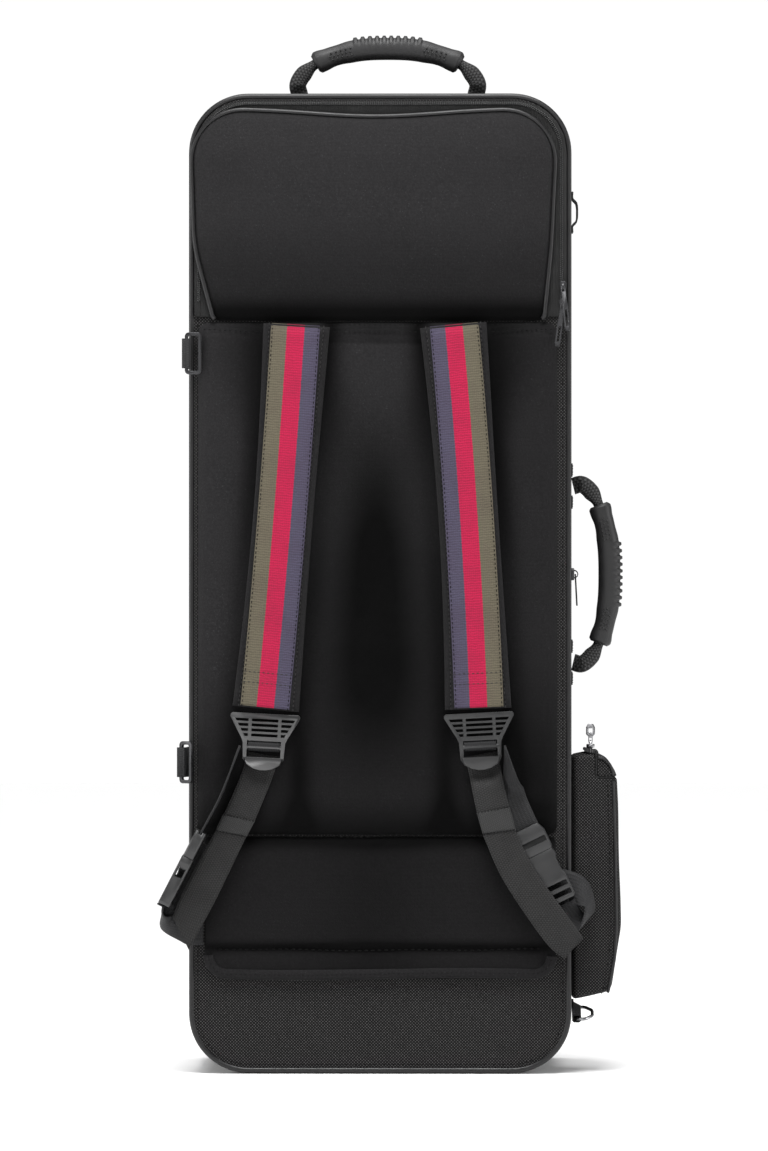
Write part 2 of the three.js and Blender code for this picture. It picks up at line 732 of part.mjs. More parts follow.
// A flat ribbon given by pairs of edge points.
function ribbon(pairs, thickness = WEBBING_THICKNESS) {
  const rings = pairs.map(([left, right, swell = 1], i) => {
    const [a, b] = [new THREE.Vector3(...left), new THREE.Vector3(...right)];
    const before = pairs[Math.max(i - 1, 0)];
    const after = pairs[Math.min(i + 1, pairs.length - 1)];
    const middle = (pair) => new THREE.Vector3(...pair[0]).add(new THREE.Vector3(...pair[1])).multiplyScalar(0.5);
    const ahead = middle(after).sub(middle(before));
    const normal = new THREE.Vector3().crossVectors(b.clone().sub(a), ahead).normalize();
    normal.multiplyScalar((thickness * swell) / 2);
    return [a.clone().sub(normal), b.clone().sub(normal), b.clone().add(normal), a.clone().add(normal)];
  });
  return loft(rings, false, [2]);
}

// A ribbon that turns about its run: each station is a point and the direction of its width.
function turningRibbon(stations, width = WEBBING_WIDTH) {
  const run = new THREE.CatmullRomCurve3(stations.map(([point]) => new THREE.Vector3(...point)));
  const turn = new THREE.CatmullRomCurve3(stations.map(([, across]) => new THREE.Vector3(...across).normalize()));
  const steps = (stations.length - 1) * 3;
  const pairs = Array.from({ length: steps + 1 }, (_, i) => {
    const middle = run.getPoint(i / steps);
    const half = turn.getPoint(i / steps).normalize().multiplyScalar(width / 2);
    return [middle.clone().sub(half).toArray(), middle.clone().add(half).toArray()];
  });
  return ribbon(pairs);
}

// Adjuster tails: edge points from under the lip, over the hem, to the folded end
const TAILS = {
  left: [
    [[-116.5, -122.9, 283], [-88.5, -122.9, 278]],
    [[-121.5, -123.8, 263], [-95.5, -123.8, 256]],
    [[-135.2, -130.5, 231], [-108.2, -130.5, 225]],
    [[-137.2, -131.2, 227.6], [-109.4, -131.2, 222], 1.7],
    [[-143.6, -132.6, 213.6], [-116.5, -132.6, 208.6], 1.7],
    [[-145.8, -133.2, 210.4], [-118.9, -133.2, 204]],
    [[-167.8, -135.5, 169.5], [-143.4, -135.5, 153.2]],
    [[-181.5, -137, 138.7], [-167, -137, 109.5]],
  ],
  right: [
    [[74.6, -122.9, 278], [102.6, -122.9, 283]],
    [[78.2, -124, 262], [106.4, -124, 266]],
    [[80.4, -131, 250], [108.7, -131, 254]],
    [[84.9, -134, 229.2], [113.3, -134, 234.4]],
    [[86, -134.4, 224.6], [114.6, -134.4, 229.4], 1.7],
    [[90.1, -135.6, 211], [118.6, -135.6, 214.5], 1.7],
    [[91.6, -136, 206.4], [120.9, -136, 208.6]],
    [[108.9, -136.6, 168.6], [136, -136.6, 179]],
    [[144, -136.6, 117.2], [170, -136.6, 131.4]],
    [[161, -136.6, 101.8], [177.7, -136.6, 119.8]],
  ],
};

// Side-release buckle, drawn with its width along X, its length along Z and its web end at 0
const BUCKLE_WIDTH = 34;
const BUCKLE_THICKNESS = 10.5;
const SOCKET_LENGTH = 46;
const PLUG_LENGTH = 25;
const PRONG_REACH = 14;
const PLUG_TRAVEL = 15;

function socket() {
  const half = BUCKLE_WIDTH / 2;
  const thick = BUCKLE_THICKNESS / 2;
  const outline = mirroredOutline([
    [half - 2, 0], [half, 2.5], [half, 22], [half - 1.8, 26], [half - 1.8, 37], [half, 41], [half - 1, SOCKET_LENGTH],
  ]);
  const body = stack([
    [outline.map((p) => new THREE.Vector2(p.x * 0.96, p.y)), -thick],
    [outline, -thick + 1.6],
    [outline, thick - 1.6],
    [outline.map((p) => new THREE.Vector2(p.x * 0.96, p.y)), thick],
  ]);
  const mouth = box([-half + 3.2, -thick + 2, 24], [half - 3.2, thick - 2, SOCKET_LENGTH + 2]);
  const sideWindow = box([-half - 2, -thick + 2, 27], [half + 2, thick - 2, 36]);
  const slots = [4, 12].map((z) => box([-LOCK_WINDOW_HALF, -thick - 1, z], [LOCK_WINDOW_HALF, thick + 1, z + 4.4]));
  return cut(body, mouth, sideWindow, ...slots);
}

// The plug sits on the socket's mouth and reaches in with a guide and two prongs.
function plug() {
  const half = BUCKLE_WIDTH / 2;
  const thick = BUCKLE_THICKNESS / 2;
  const outline = mirroredOutline([[half - 1, 0], [half, 3], [half, 18], [half - 3, PLUG_LENGTH]]);
  const body = stack([
    [outline.map((p) => new THREE.Vector2(p.x * 0.95, p.y)), -thick + 0.6],
    [outline, -thick + 2],
    [outline, thick - 2],
    [outline.map((p) => new THREE.Vector2(p.x * 0.95, p.y)), thick - 0.6],
  ]);
  const reach = thick - 2.6;
  const prong = (sign) => {
    const inner = half - 9.5;
    const points = [
      [inner, 1], [inner, -PRONG_REACH + 5], [inner + 1.6, -PRONG_REACH], [half - 4.6, -PRONG_REACH + 3], [half - 4.6, 1],
    ].map(([x, z]) => new THREE.Vector2(x * sign, z));
    return plate(pathOf(points), -reach, reach);
  };
  const guide = box([-1.8, -reach, -PRONG_REACH], [1.8, reach, 1]);
  const webWay = box([-LOCK_WINDOW_HALF, -1.6, 4], [LOCK_WINDOW_HALF, 1.6, PLUG_LENGTH + 1]);
  const webBar = box([-LOCK_WINDOW_HALF, -thick - 1, 8], [LOCK_WINDOW_HALF, 0, 13]);
  return cut(join(body, prong(1), prong(-1), guide), webWay, webBar);
}

// Lower links: where each socket's web end lies, the way up to the plug and the way across the buckle
const LOWER = {
  left: {
    base: [-188.4, -138.5, 149.6],
    up: [0.458, 0, 0.889],
    across: [0, -1, 0],
    strand: [
      [[-158.2, -138.5, 208.3], [0, -1, 0]],
      [[-150.2, -138.5, 222.9], [0, -1, 0]],
      [[-138.3, -138.5, 246], [0, -1, 0]],
      [[-122.3, -137, 288], [0.05, -1, 0]],
    ],
    anchor: [
      [[-155, -112.1, 127], [0, 0, 1]],
      [[-166, -113.6, 127], [0, 0.1, 1]],
      [[-176, -119.5, 128.5], [0, -0.55, 0.9]],
      [[-189, -129.5, 132.5], [0.2, -1, 0.45]],
      [[-190.2, -136.5, 141], [0.05, -1, 0.1]],
      [[-189.1, -138.5, 148.3], [0, -1, 0]],
    ],
  },
  right: {
    base: [156.5, -126, 150.4],
    up: [-0.437, 0, 0.9],
    across: [0.9, 0, 0.437],
    strand: [
      [[127.7, -126, 209.8], [0.9, 0, 0.437]],
      [[121.4, -126, 222.6], [0.9, 0, 0.437]],
      [[113.5, -126.6, 241], [0.9, -0.1, 0.437]],
      [[116.5, -130.5, 251], [0.75, -0.55, 0.35]],
      [[115, -135.8, 264], [0.3, -1, 0.1]],
      [[109.4, -137.2, 288], [0, -1, 0]],
    ],
    anchor: [
      [[155, -112.1, 166], [0, 0, 1]],
      [[165, -114, 164], [0, 0.15, 1]],
      [[177.5, -118.5, 159], [0.25, 0.6, 0.75]],
      [[184, -121, 147], [0.3, 1, 0.1]],
      [[179, -123.5, 133], [0.45, 0.75, 0.5]],
      [[168, -125.5, 133], [0.7, 0.4, 0.6]],
      [[159.4, -126, 143.4], [0.9, 0, 0.437]],
      [[157.6, -126, 147.8], [0.9, 0, 0.437]],
    ],
  },
};

function buckleFrame(lower, distance) {
  const up = new THREE.Vector3(...lower.up).normalize();
  const across = new THREE.Vector3(...lower.across).normalize();
  const through = new THREE.Vector3().crossVectors(up, across);
  const frame = new THREE.Group();
  frame.setRotationFromMatrix(new THREE.Matrix4().makeBasis(across, through, up));
  frame.position.copy(new THREE.Vector3(...lower.base).addScaledVector(up, distance));
  group.add(frame);
  return frame;
}

const LOCK_PLACES = { left: [-100.2, 315.8, 3], right: [86.4, 316.6, -3] };

for (const [name, side] of Object.entries(SIDES)) {
  add(`${name}_strap_pad`, strapPad(side), 'neoprene');
  add(`${name}_strap_webbing`, stripedWebbing(side), 'stripe');
  const [x, z, turn] = LOCK_PLACES[name];
  const lock = add(`${name}_ladder_lock`, ladderLock(), 'plastic');
  lock.position.set(x, STRAP_BACK - 5.7, z);
  lock.rotation.y = THREE.MathUtils.degToRad(turn);
  add(`${name}_adjuster_tail`, ribbon(TAILS[name]), 'webbing');
  const lower = LOWER[name];
  add(`${name}_lower_strand`, turningRibbon(lower.strand), 'webbing');
  add(`${name}_anchor_tab`, turningRibbon(lower.anchor), 'webbing');
  add(`${name}_buckle_socket`, socket(), 'plastic', buckleFrame(lower, 0));
  add(`${name}_buckle_plug`, plug(), 'plastic', buckleFrame(lower, SOCKET_LENGTH + 0.4));
}

// Carrying handles: a webbing core on two sewn feet, inside a ribbed rubber grip
const HANDLE_SPAN = 156;
const HANDLE_LIFT = 2.2;
const SHOULDER_X = 58;
const CORE_ARM = 7.5;
const CORE_IN_GRIP = 4.5;
const CORE_WIDE = 8;
const BORE_GAP = 1.2;
const GRIP_FROM = 0.17;
const GRIP_RIBS = 10;

// The handle is drawn with its span along X and its rise along Z.
function handleCurve(rise) {
  const half = HANDLE_SPAN / 2;
  const points = [
    [-half, 0], [-half - 1.5, rise * 0.22], [-half + 6, rise * 0.46], [-SHOULDER_X, rise * 0.66],
    [-SHOULDER_X / 2, rise * 0.84], [0, rise * 0.88],
  ];
  const all = [...points, ...points.slice(0, -1).reverse().map(([x, z]) => [-x, z])];
  return new THREE.CatmullRomCurve3(all.map(([x, z]) => new THREE.Vector3(x, 0, z)));
}

function ovalRing(curve, t, high, wide, sides, lift = 0) {
  const ahead = curve.getTangentAt(t);
  const out = new THREE.Vector3(-ahead.z, 0, ahead.x);
  const point = curve.getPointAt(t);
  return circleSection(1, sides, Math.PI / sides).map(([up, side]) => {
    const height = up * high + (up > 0.4 ? lift : 0);
    return point.clone().addScaledVector(out, height).add(new THREE.Vector3(0, side * wide, 0));
  });
}

// Both ends of the core taper to a thin fold, so that the handle can swing down to either side.
function handleCore(rise) {
  const curve = handleCurve(rise);
  const half = [0, 0.025, 0.05, 0.085, 0.12, 0.165, 0.22, 0.3, 0.4];
  const stations = [...half, 0.5, ...half.map((t) => 1 - t).reverse()];
  return loft(stations.map((t) => {
    const end = Math.min(t, 1 - t);
    const wide = 2 + (CORE_WIDE - 2) * THREE.MathUtils.smoothstep(end, 0, 0.05);
    const high = THREE.MathUtils.mapLinear(THREE.MathUtils.smoothstep(end, 0.1, 0.165), 0, 1, CORE_ARM, CORE_IN_GRIP);
    return ovalRing(curve, t, high, wide, 8);
  }));
}

// Ribs stand across the top of the grip; its ends are thicker collars.
function gripStations() {
  const end = [0, 0.02, 0.05, 0.14, 0.25, 0.34];
  const ribs = Array.from({ length: GRIP_RIBS * 2 + 1 }, (_, i) => 0.36 + (0.28 * i) / (GRIP_RIBS * 2));
  return [...end, ...ribs, ...end.map((along) => 1 - along).reverse()];
}

function handleGrip(rise) {
  const curve = handleCurve(rise);
  const span = 1 - 2 * GRIP_FROM;
  const outer = gripStations().map((along, i) => {
    const end = Math.min(along, 1 - along);
    const collar = THREE.MathUtils.smoothstep(end, -0.01, 0.03);
    const high = 8.2 + 1.6 * collar + 1.4 * THREE.MathUtils.smoothstep(end, 0.1, 0.3);
    const ridge = end > 0.35 && i % 2 === 1 ? 1.7 : 0;
    return ovalRing(curve, GRIP_FROM + along * span, high, 10 + 2.4 * collar, 10, ridge);
  });
  const bore = Array.from({ length: 11 }, (_, i) =>
    ovalRing(curve, 1 - GRIP_FROM - (span * i) / 10, CORE_IN_GRIP + BORE_GAP, CORE_WIDE + BORE_GAP, 10));
  return loft([...outer, ...bore], true);
}

const HANDLES = [
  { name: 'top_handle', rise: 46, place: [6, -50, CASE_HEIGHT + HANDLE_LIFT], turn: 0 },
  { name: 'side_handle', rise: 36, place: [HALF_WIDTH + HANDLE_LIFT, -42, 438], turn: Math.PI / 2 },
];

for (const handle of HANDLES) {
  const frame = new THREE.Group();
  frame.position.set(...handle.place);
  frame.rotation.y = handle.turn;
  group.add(frame);
  add(`${handle.name}_webbing`, handleCore(handle.rise), 'webbing', frame);
  add(`${handle.name}_grip`, handleGrip(handle.rise), 'rubber', frame);
}

// Side pouch: a twill box with a zipped top lid and a bead round its outer face
const POUCH_BACK_Y = -94;
const POUCH_FRONT_Y = -9;
const POUCH_TOP = POUCH_BOTTOM + POUCH_HEIGHT;
const POUCH_OUT = HALF_WIDTH + POUCH_DEPTH;
const POUCH_LID_X = 190.5;
const POUCH_WALL = 3;

// The pouch's outline seen from the straps, drawn in X and Z.
function pouchShape(distance) {
  const inside = HALF_WIDTH + FIT;
  const corners = [
    [inside, POUCH_BOTTOM - 2], [POUCH_OUT - 9, POUCH_BOTTOM + 5], [POUCH_OUT, POUCH_BOTTOM + 62],
    [POUCH_OUT - 4, POUCH_TOP - 20], [POUCH_OUT - 20, POUCH_TOP - 1], [inside, POUCH_TOP - 6],
  ].map(([x, z]) => new THREE.Vector2(x, z));
  return rounded(inset(corners, distance), [3, 9, 60, 16, 22, 3], 3);
}

function pouchSolid(distance) {
  return stack([
    [pouchShape(distance + 3), POUCH_BACK_Y + distance],
    [pouchShape(distance), POUCH_BACK_Y + distance + 4],
    [pouchShape(distance), POUCH_FRONT_Y - distance - 4],
    [pouchShape(distance + 3), POUCH_FRONT_Y - distance],
  ]);
}

const POUCH_LID_CUT = box([POUCH_LID_X, POUCH_BACK_Y - 1, POUCH_TOP - 24], [POUCH_OUT + 1, POUCH_FRONT_Y + 1, POUCH_TOP + 9]);

function pouchBody() {
  const gap = 1.2;
  const mouth = box(
    [POUCH_LID_X - gap, POUCH_BACK_Y - 1, POUCH_TOP - 24 - gap],
    [POUCH_OUT + 1, POUCH_FRONT_Y + 1, POUCH_TOP + 9],
  );
  return cut(pouchSolid(0), pouchSolid(POUCH_WALL), mouth);
}

function pouchLid() {
  const shell = solidOf(pouchSolid(0)).subtract(solidOf(pouchSolid(POUCH_WALL)));
  return geometryOf(shell.intersect(solidOf(POUCH_LID_CUT)));
}

add('pouch_body', pouchBody(), 'twill');
add('pouch_lid', pouchLid(), 'twill');

// Zip sliders and pulls. A slider is drawn on a coil that runs along Z and faces -Y.
function sliderBody(width, length) {
  const half = width / 2;
  const outline = mirroredOutline([
    [half * 0.55, length / 2], [half, length * 0.3], [half * 0.8, -length * 0.15], [half * 0.5, -length / 2],
  ]);
  const wing = (shrink) => outline.map((p) => p.clone().multiplyScalar(shrink));
  const body = stack([[wing(0.88), -3.4], [wing(1), -2.8], [wing(1), -0.5], [wing(0.92), 0]]);
  const bridge = new THREE.Shape();
  bridge.absarc(0, 0, length * 0.36, 0, Math.PI, false);
  const hoop = new THREE.Path();
  hoop.absarc(0, 0.4, length * 0.36 - 1.3, 0, Math.PI, false);
  bridge.holes.push(hoop);
  const arch = new THREE.ExtrudeGeometry(bridge, { depth: 1.6, bevelEnabled: false, curveSegments: 8 });
  arch.translate(0, 0, -0.8).rotateZ(Math.PI).rotateY(Math.PI / 2).translate(0, -3.1, 0);
  return join(body, arch);
}

// A pull hangs from its eye, which rings the slider's bridge; the origin is the eye's middle.
function pullTab(length, width, neck = 2) {
  const outline = mirroredOutline([
    [neck * 0.8, 2.4], [neck, 0], [neck, -length * 0.25], [width / 2, -length * 0.4], [width / 2, -length + 3],
    [width * 0.3, -length],
  ]);
  const eye = rectangle(-1.15, -2.6, 1.15, 1.2);
  const window = rectangle(-width * 0.22, -length + 4, width * 0.22, -length * 0.5);
  return cut(plate(pathOf(outline), -0.7, 0.7), plate(pathOf(eye), -2, 2), plate(pathOf(window), -2, 2));
}

// Each slider: its place on the coil, which way it faces, the way it runs, its size and its pull.
// A pull leans out over what lies under it and swings a little to one side.
const ZIPS = [
  {
    name: 'main', place: [HALF_WIDTH + 0.3, 0, 438], facing: [1, 0, 0], run: [0, 0, 1],
    size: [8, 11], pull: [26, 6], lean: 3, swing: 0, finish: 'blackMetal',
  },
  {
    name: 'pocket_upper', place: [ZIP_RUN_X, BACK - 3.1, 690], facing: [0, -1, 0], run: [0, 0, 1],
    size: [7, 10], pull: [38, 5], lean: 14, swing: -6, finish: 'blackMetal',
  },
  {
    name: 'pocket_lower', place: [ZIP_RUN_X, BACK - 3.1, 675], facing: [0, -1, 0], run: [0, 0, 1],
    size: [7, 10], pull: [36, 5], lean: 7, swing: 8, finish: 'blackMetal',
  },
  {
    name: 'pouch', place: [POUCH_LID_X - 5, -50, POUCH_TOP + 0.2], facing: [0, 0, 1], run: [0, 1, 0],
    size: [7.4, 11], pull: [15, 8], lean: 92, swing: 0, finish: 'chrome',
  },
];

function zipFrame(zip) {
  const inwards = new THREE.Vector3(...zip.facing).negate();
  const run = new THREE.Vector3(...zip.run);
  const across = new THREE.Vector3().crossVectors(inwards, run);
  const frame = new THREE.Group();
  frame.setRotationFromMatrix(new THREE.Matrix4().makeBasis(across, inwards, run));
  frame.position.set(...zip.place);
  group.add(frame);
  return frame;
}

for (const zip of ZIPS) {
  const frame = zipFrame(zip);
  add(`${zip.name}_slider`, sliderBody(...zip.size), zip.finish, frame);
  const hang = new THREE.Group();
  hang.position.set(0, -4.4, -0.4);
  hang.rotation.set(THREE.MathUtils.degToRad(-zip.lean), THREE.MathUtils.degToRad(zip.swing), 0, 'XYZ');
  frame.add(hang);
  const pull = add(`${zip.name}_pull`, pullTab(...zip.pull), zip.finish, hang);
  pull.position.z = -1.8;
}

// Ladder rings on webbing tabs at the left edge, for clipping a strap
const RING_HEIGHT = 37;
const RING_WIDTH = 14.5;
const RING_BAR = 3;
const TAB_WIDTH = 26;

const SIDE_RINGS = [
  { name: 'upper_side_ring', bar: [-169.6, -120.4], z: 631.5, open: 0 },
  { name: 'lower_side_ring', bar: [-174.2, -113.6], z: 273, open: 42 },
];

function sideRing() {
  const outer = rounded(rectangle(-RING_BAR / 2, -RING_HEIGHT / 2, RING_WIDTH - RING_BAR / 2, RING_HEIGHT / 2), 3.5, 3);
  const inner = rounded(
    rectangle(RING_BAR / 2, -RING_HEIGHT / 2 + RING_BAR, RING_WIDTH - RING_BAR * 1.5, RING_HEIGHT / 2 - RING_BAR), 1.5, 2);
  const half = RING_BAR / 2;
  return cut(plate(pathOf(outer), -half, half), plate(pathOf(inner), -half - 1, half + 1));
}

// A tab is a webbing loop round a bar, sewn flat on the wall beside it. It is drawn in X and Y.
function webTab(bar, wallX, foot) {
  const [x, y] = bar;
  const [clear, outside] = [2.5, 4];
  const toBar = Math.sign(y - foot) || -1;
  const root = [[wallX - 2, foot], [wallX, foot]];
  const loop = [[outside, -0.6], [outside, 0.6], [outside * 0.6, 1], [-outside * 0.6, 1], [-outside, 0.6], [-outside, -0.6]];
  const points = [
    ...root,
    [wallX, y - toBar * (outside + 2)],
    ...loop.map(([dx, along]) => [x + dx, y + toBar * along * outside]),
    [wallX - 2, y - toBar * (outside + 2)],
  ].map(([px, py]) => new THREE.Vector2(px, py));
  const hole = rounded(rectangle(x - clear, y - clear, x + clear, y + clear), 1, 2);
  const strip = new THREE.ExtrudeGeometry(pathOf(points), { depth: TAB_WIDTH, bevelEnabled: false });
  const bore = new THREE.ExtrudeGeometry(pathOf(hole), { depth: TAB_WIDTH + 2, bevelEnabled: false });
  bore.translate(0, 0, -1);
  return cut(strip, bore);
}

for (const { name, bar, z, open } of SIDE_RINGS) {
  const ring = add(name, sideRing(), 'plastic');
  ring.position.set(bar[0], bar[1], z);
  ring.rotation.z = THREE.MathUtils.degToRad(-open);
  const tab = add(name.replace('ring', 'tab'), webTab(bar, -HALF_WIDTH - 0.4, -88), 'webbing');
  tab.position.z = z - TAB_WIDTH / 2;
}

// D-ring under the pouch, on a short loop of webbing
const D_RING = { place: [HALF_WIDTH + 4.9, -60, 50], tilt: 18, width: 29, reach: 14, wire: 1.5 };

function dRing() {
  const { width, reach, wire } = D_RING;
  const half = width / 2;
  const corners = rounded(
    [[0, -half], [reach * 0.55, -half], [reach, -half * 0.45], [reach, half * 0.45], [reach * 0.55, half], [0, half]]
      .map(([x, y]) => new THREE.Vector2(x, y)), [1.5, 4, 6, 6, 4, 1.5], 2);
  const frames = outlineFrames(corners, 0);
  return sweep(frames, circleSection(wire, 6)).rotateX(Math.PI / 2);
}

// The tab hangs down the right wall and closes round the ring's straight bar.
function dRingTab() {
  const bar = [0, 0];
  const tab = webTab(bar, -2.4, 8.5);
  return tab.rotateX(Math.PI / 2).translate(0, TAB_WIDTH / 2, 0);
}

const dRingFrame = new THREE.Group();
dRingFrame.position.set(...D_RING.place);
dRingFrame.rotation.x = THREE.MathUtils.degToRad(D_RING.tilt);
group.add(dRingFrame);
add('d_ring', dRing(), 'chrome', dRingFrame);
add('d_ring_tab', dRingTab(), 'webbing', dRingFrame);

// Plain webbing loop high on the right wall
function wallLoop() {
  const stations = [[0.4, -18], [0.4, -12], [3.8, -8], [4.6, 0], [3.8, 8], [0.4, 12], [0.4, 18]];
  return turningRibbon(stations.map(([x, z]) => [[HALF_WIDTH + 1 + x, -50, 758 + z], [0, 1, 0]]), TAB_WIDTH);
}

add('right_side_loop', wallLoop(), 'webbing');

// The origin is a point on the flat bottom of the base, on its middle plane across the width.
const ORIGIN_TO_RIM = 50;
group.position.y = ORIGIN_TO_RIM;

export default group;
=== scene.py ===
"""A soft tenor saxophone case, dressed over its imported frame.

Lengths are in millimetres until a mesh is made, and depths run from the plane where base and lid meet.
"""

import math

import bmesh
import bpy
import numpy as np
from bpy.props import FloatProperty, FloatVectorProperty, IntProperty, PointerProperty
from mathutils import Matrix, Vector


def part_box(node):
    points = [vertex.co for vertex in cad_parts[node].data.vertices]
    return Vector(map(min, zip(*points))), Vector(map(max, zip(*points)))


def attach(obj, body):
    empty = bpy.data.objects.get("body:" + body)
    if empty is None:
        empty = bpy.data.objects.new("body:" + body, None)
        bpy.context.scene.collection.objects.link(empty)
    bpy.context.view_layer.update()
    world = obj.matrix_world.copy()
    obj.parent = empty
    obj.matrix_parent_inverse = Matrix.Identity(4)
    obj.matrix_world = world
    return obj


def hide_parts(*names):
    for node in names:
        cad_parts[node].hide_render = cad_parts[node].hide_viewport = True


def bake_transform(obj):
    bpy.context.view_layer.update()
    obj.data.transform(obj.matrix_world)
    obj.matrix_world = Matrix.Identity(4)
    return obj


bl_info = {
    "name": "Saxophone case",
    "version": (1, 0, 0),
    "blender": (4, 5, 0),
    "location": "View3D > Sidebar > Case",
    "description": "Builds a soft tenor saxophone case with straps, pocket, handles and pouch",
    "category": "Object",
}

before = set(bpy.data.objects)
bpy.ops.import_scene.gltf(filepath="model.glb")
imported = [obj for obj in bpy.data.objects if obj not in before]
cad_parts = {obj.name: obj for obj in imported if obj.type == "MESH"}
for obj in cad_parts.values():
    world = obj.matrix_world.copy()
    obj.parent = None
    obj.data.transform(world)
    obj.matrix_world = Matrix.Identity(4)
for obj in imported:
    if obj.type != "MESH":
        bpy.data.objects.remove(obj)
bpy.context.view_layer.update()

MM = 0.001
# From the frame's origin to the plane where base and lid meet, along Y, in millimetres
RIM_SHIFT = 50.0
# Points of a solid that lie nearer than this are one, in metres
JOIN_DISTANCE = 2e-6
CLOTH_FRAMES = 20
FULL_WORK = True


def side_length(node, axis):
    """How far a solid reaches along one axis, in metres."""
    low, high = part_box(node)
    return high[axis] - low[axis]


class CaseSizes(bpy.types.PropertyGroup):
    """Sizes of the two shells and what is sewn round them."""

    width: FloatProperty(
        name="Width", description="Outer width of both shells",
        default=side_length("base_shell", 0), unit="LENGTH", subtype="DISTANCE",
    )
    height: FloatProperty(
        name="Height", description="Outer height of both shells",
        default=side_length("base_shell", 2), unit="LENGTH", subtype="DISTANCE",
    )
    corner: FloatProperty(
        name="Corner radius", description="Radius of the shells' corners seen from the back",
        default=0.052, unit="LENGTH", subtype="DISTANCE",
    )
    wall: FloatProperty(
        name="Wall", description="Thickness of the padded wall",
        default=0.008, unit="LENGTH", subtype="DISTANCE",
    )
    piping: FloatProperty(
        name="Piping radius", description="Radius of the piping on the shells' edges",
        default=0.0026, unit="LENGTH", subtype="DISTANCE",
    )


class ClothColours(bpy.types.PropertyGroup):
    """Colours of the cloths, as linear light."""

    neoprene: FloatVectorProperty(
        name="Neoprene", description="Pads and pocket",
        default=(0.0108, 0.0105, 0.0109), subtype="COLOR",
    )
    twill: FloatVectorProperty(
        name="Twill", description="Nylon of the shells and the pouch",
        default=(0.0058, 0.0056, 0.0056), subtype="COLOR",
    )
    olive: FloatVectorProperty(
        name="Olive", description="Outer band of the strap",
        default=(0.101, 0.09, 0.062), subtype="COLOR",
    )
    crimson: FloatVectorProperty(
        name="Crimson", description="Middle band of the strap",
        default=(0.36, 0.0092, 0.047), subtype="COLOR",
    )
    violet: FloatVectorProperty(
        name="Blue-violet", description="Inner band of the strap",
        default=(0.057, 0.051, 0.081), subtype="COLOR",
    )


class SewingSizes(bpy.types.PropertyGroup):
    """Sizes of the stitches and of the zips' teeth."""

    stitch: FloatProperty(
        name="Stitch length", description="Length of one visible stitch", default=0.0029, unit="LENGTH",
    )
    stitch_gap: FloatProperty(
        name="Stitch spacing", description="From one stitch to the next", default=0.0042, unit="LENGTH",
    )
    tooth_gap: FloatProperty(
        name="Tooth spacing", description="From one zip tooth to the next", default=0.0018, unit="LENGTH",
    )
    ribs: IntProperty(name="Grip ribs", description="Ribs across the top of a grip", default=10, min=2)


class CameraSizes(bpy.types.PropertyGroup):
    """Where the photograph was taken from."""

    azimuth: FloatProperty(
        name="Azimuth", description="Turn of the camera round the case",
        default=math.radians(0.7), subtype="ANGLE",
    )
    elevation: FloatProperty(
        name="Elevation", description="Height of the camera as an angle",
        default=math.radians(0.0), subtype="ANGLE",
    )
    distance: FloatProperty(
        name="Distance", description="From the camera to the back of the case",
        default=6.5, unit="LENGTH", subtype="DISTANCE",
    )


# Outlines and rings of points

def rounded(corners, radii, steps=10):
    """A convex outline with round corners, as rows of x and z."""
    corners = np.array(corners, float)
    count = len(corners)
    radii = np.broadcast_to(radii, count)
    points = []
    for i, corner in enumerate(corners):
        back = corners[i - 1] - corner
        ahead = corners[(i + 1) % count] - corner
        back /= np.linalg.norm(back)
        ahead /= np.linalg.norm(ahead)
        half = math.acos(np.clip(back @ ahead, -1, 1)) / 2
        radius = max(radii[i], 0.01)
        middle = back + ahead
        centre = corner + middle / np.linalg.norm(middle) * radius / math.sin(half)
        start = corner + back * radius / math.tan(half) - centre
        angle = math.atan2(start[1], start[0])
        turn = math.pi - 2 * half
        for k in range(steps + 1):
            now = angle + turn * k / steps
            points.append(centre + radius * np.array([math.cos(now), math.sin(now)]))
    return np.array(points)


def rectangle(left, bottom, right, top):
    return [(left, bottom), (right, bottom), (right, top), (left, top)]


def resampled(points, count, closed=False):
    """The same line with evenly spaced points."""
    points = np.array(points, float)
    run = np.vstack([points, points[:1]]) if closed else points
    lengths = np.concatenate([[0], np.cumsum(np.linalg.norm(np.diff(run, axis=0), axis=1))])
    at = np.linspace(0, lengths[-1], count + 1)[:-1] if closed else np.linspace(0, lengths[-1], count)
    return np.stack([np.interp(at, lengths, run[:, k]) for k in range(run.shape[1])], axis=1)


def smooth_run(points, per_span=8):
    """A smooth line through given points."""
    points = np.array(points, float)
    padded = np.vstack([2 * points[0] - points[1], points, 2 * points[-1] - points[-2]])
    line = []
    for i in range(1, len(padded) - 2):
        before, here, there, after = padded[i - 1:i + 3]
        for t in np.linspace(0, 1, per_span, endpoint=False):
            line.append(0.5 * (
                2 * here + (there - before) * t + (2 * before - 5 * here + 4 * there - after) * t ** 2
                + (3 * here - before - 3 * there + after) * t ** 3
            ))
    line.append(points[-1])
    return np.array(line)


def smoothstep(value, low, high):
    t = np.clip((np.asarray(value, float) - low) / (high - low), 0, 1)
    return t * t * (3 - 2 * t)


def in_plane(outline, y):
    """An outline of x and z, set at one depth."""
    outline = np.asarray(outline, float)
    return np.stack([outline[:, 0], np.broadcast_to(y, len(outline)), outline[:, 1]], axis=1)


def line_at(x, z, y):
    """A line of one depth through given x and z."""
    return in_plane(np.stack([x, z], axis=1), y)


def opened(ring):
    """A ring that was cut once, turned so that it starts after the cut."""
    steps = np.linalg.norm(np.diff(ring, axis=0, append=ring[:1]), axis=1)
    return np.roll(ring, -np.argmax(steps) - 1, axis=0)


def case_outline(sizes, inset, steps=12):
    half = sizes.width / MM / 2 - inset
    top = sizes.height / MM - inset
    return rounded(rectangle(-half, inset, half, top), max(sizes.corner / MM - inset, 1), steps)


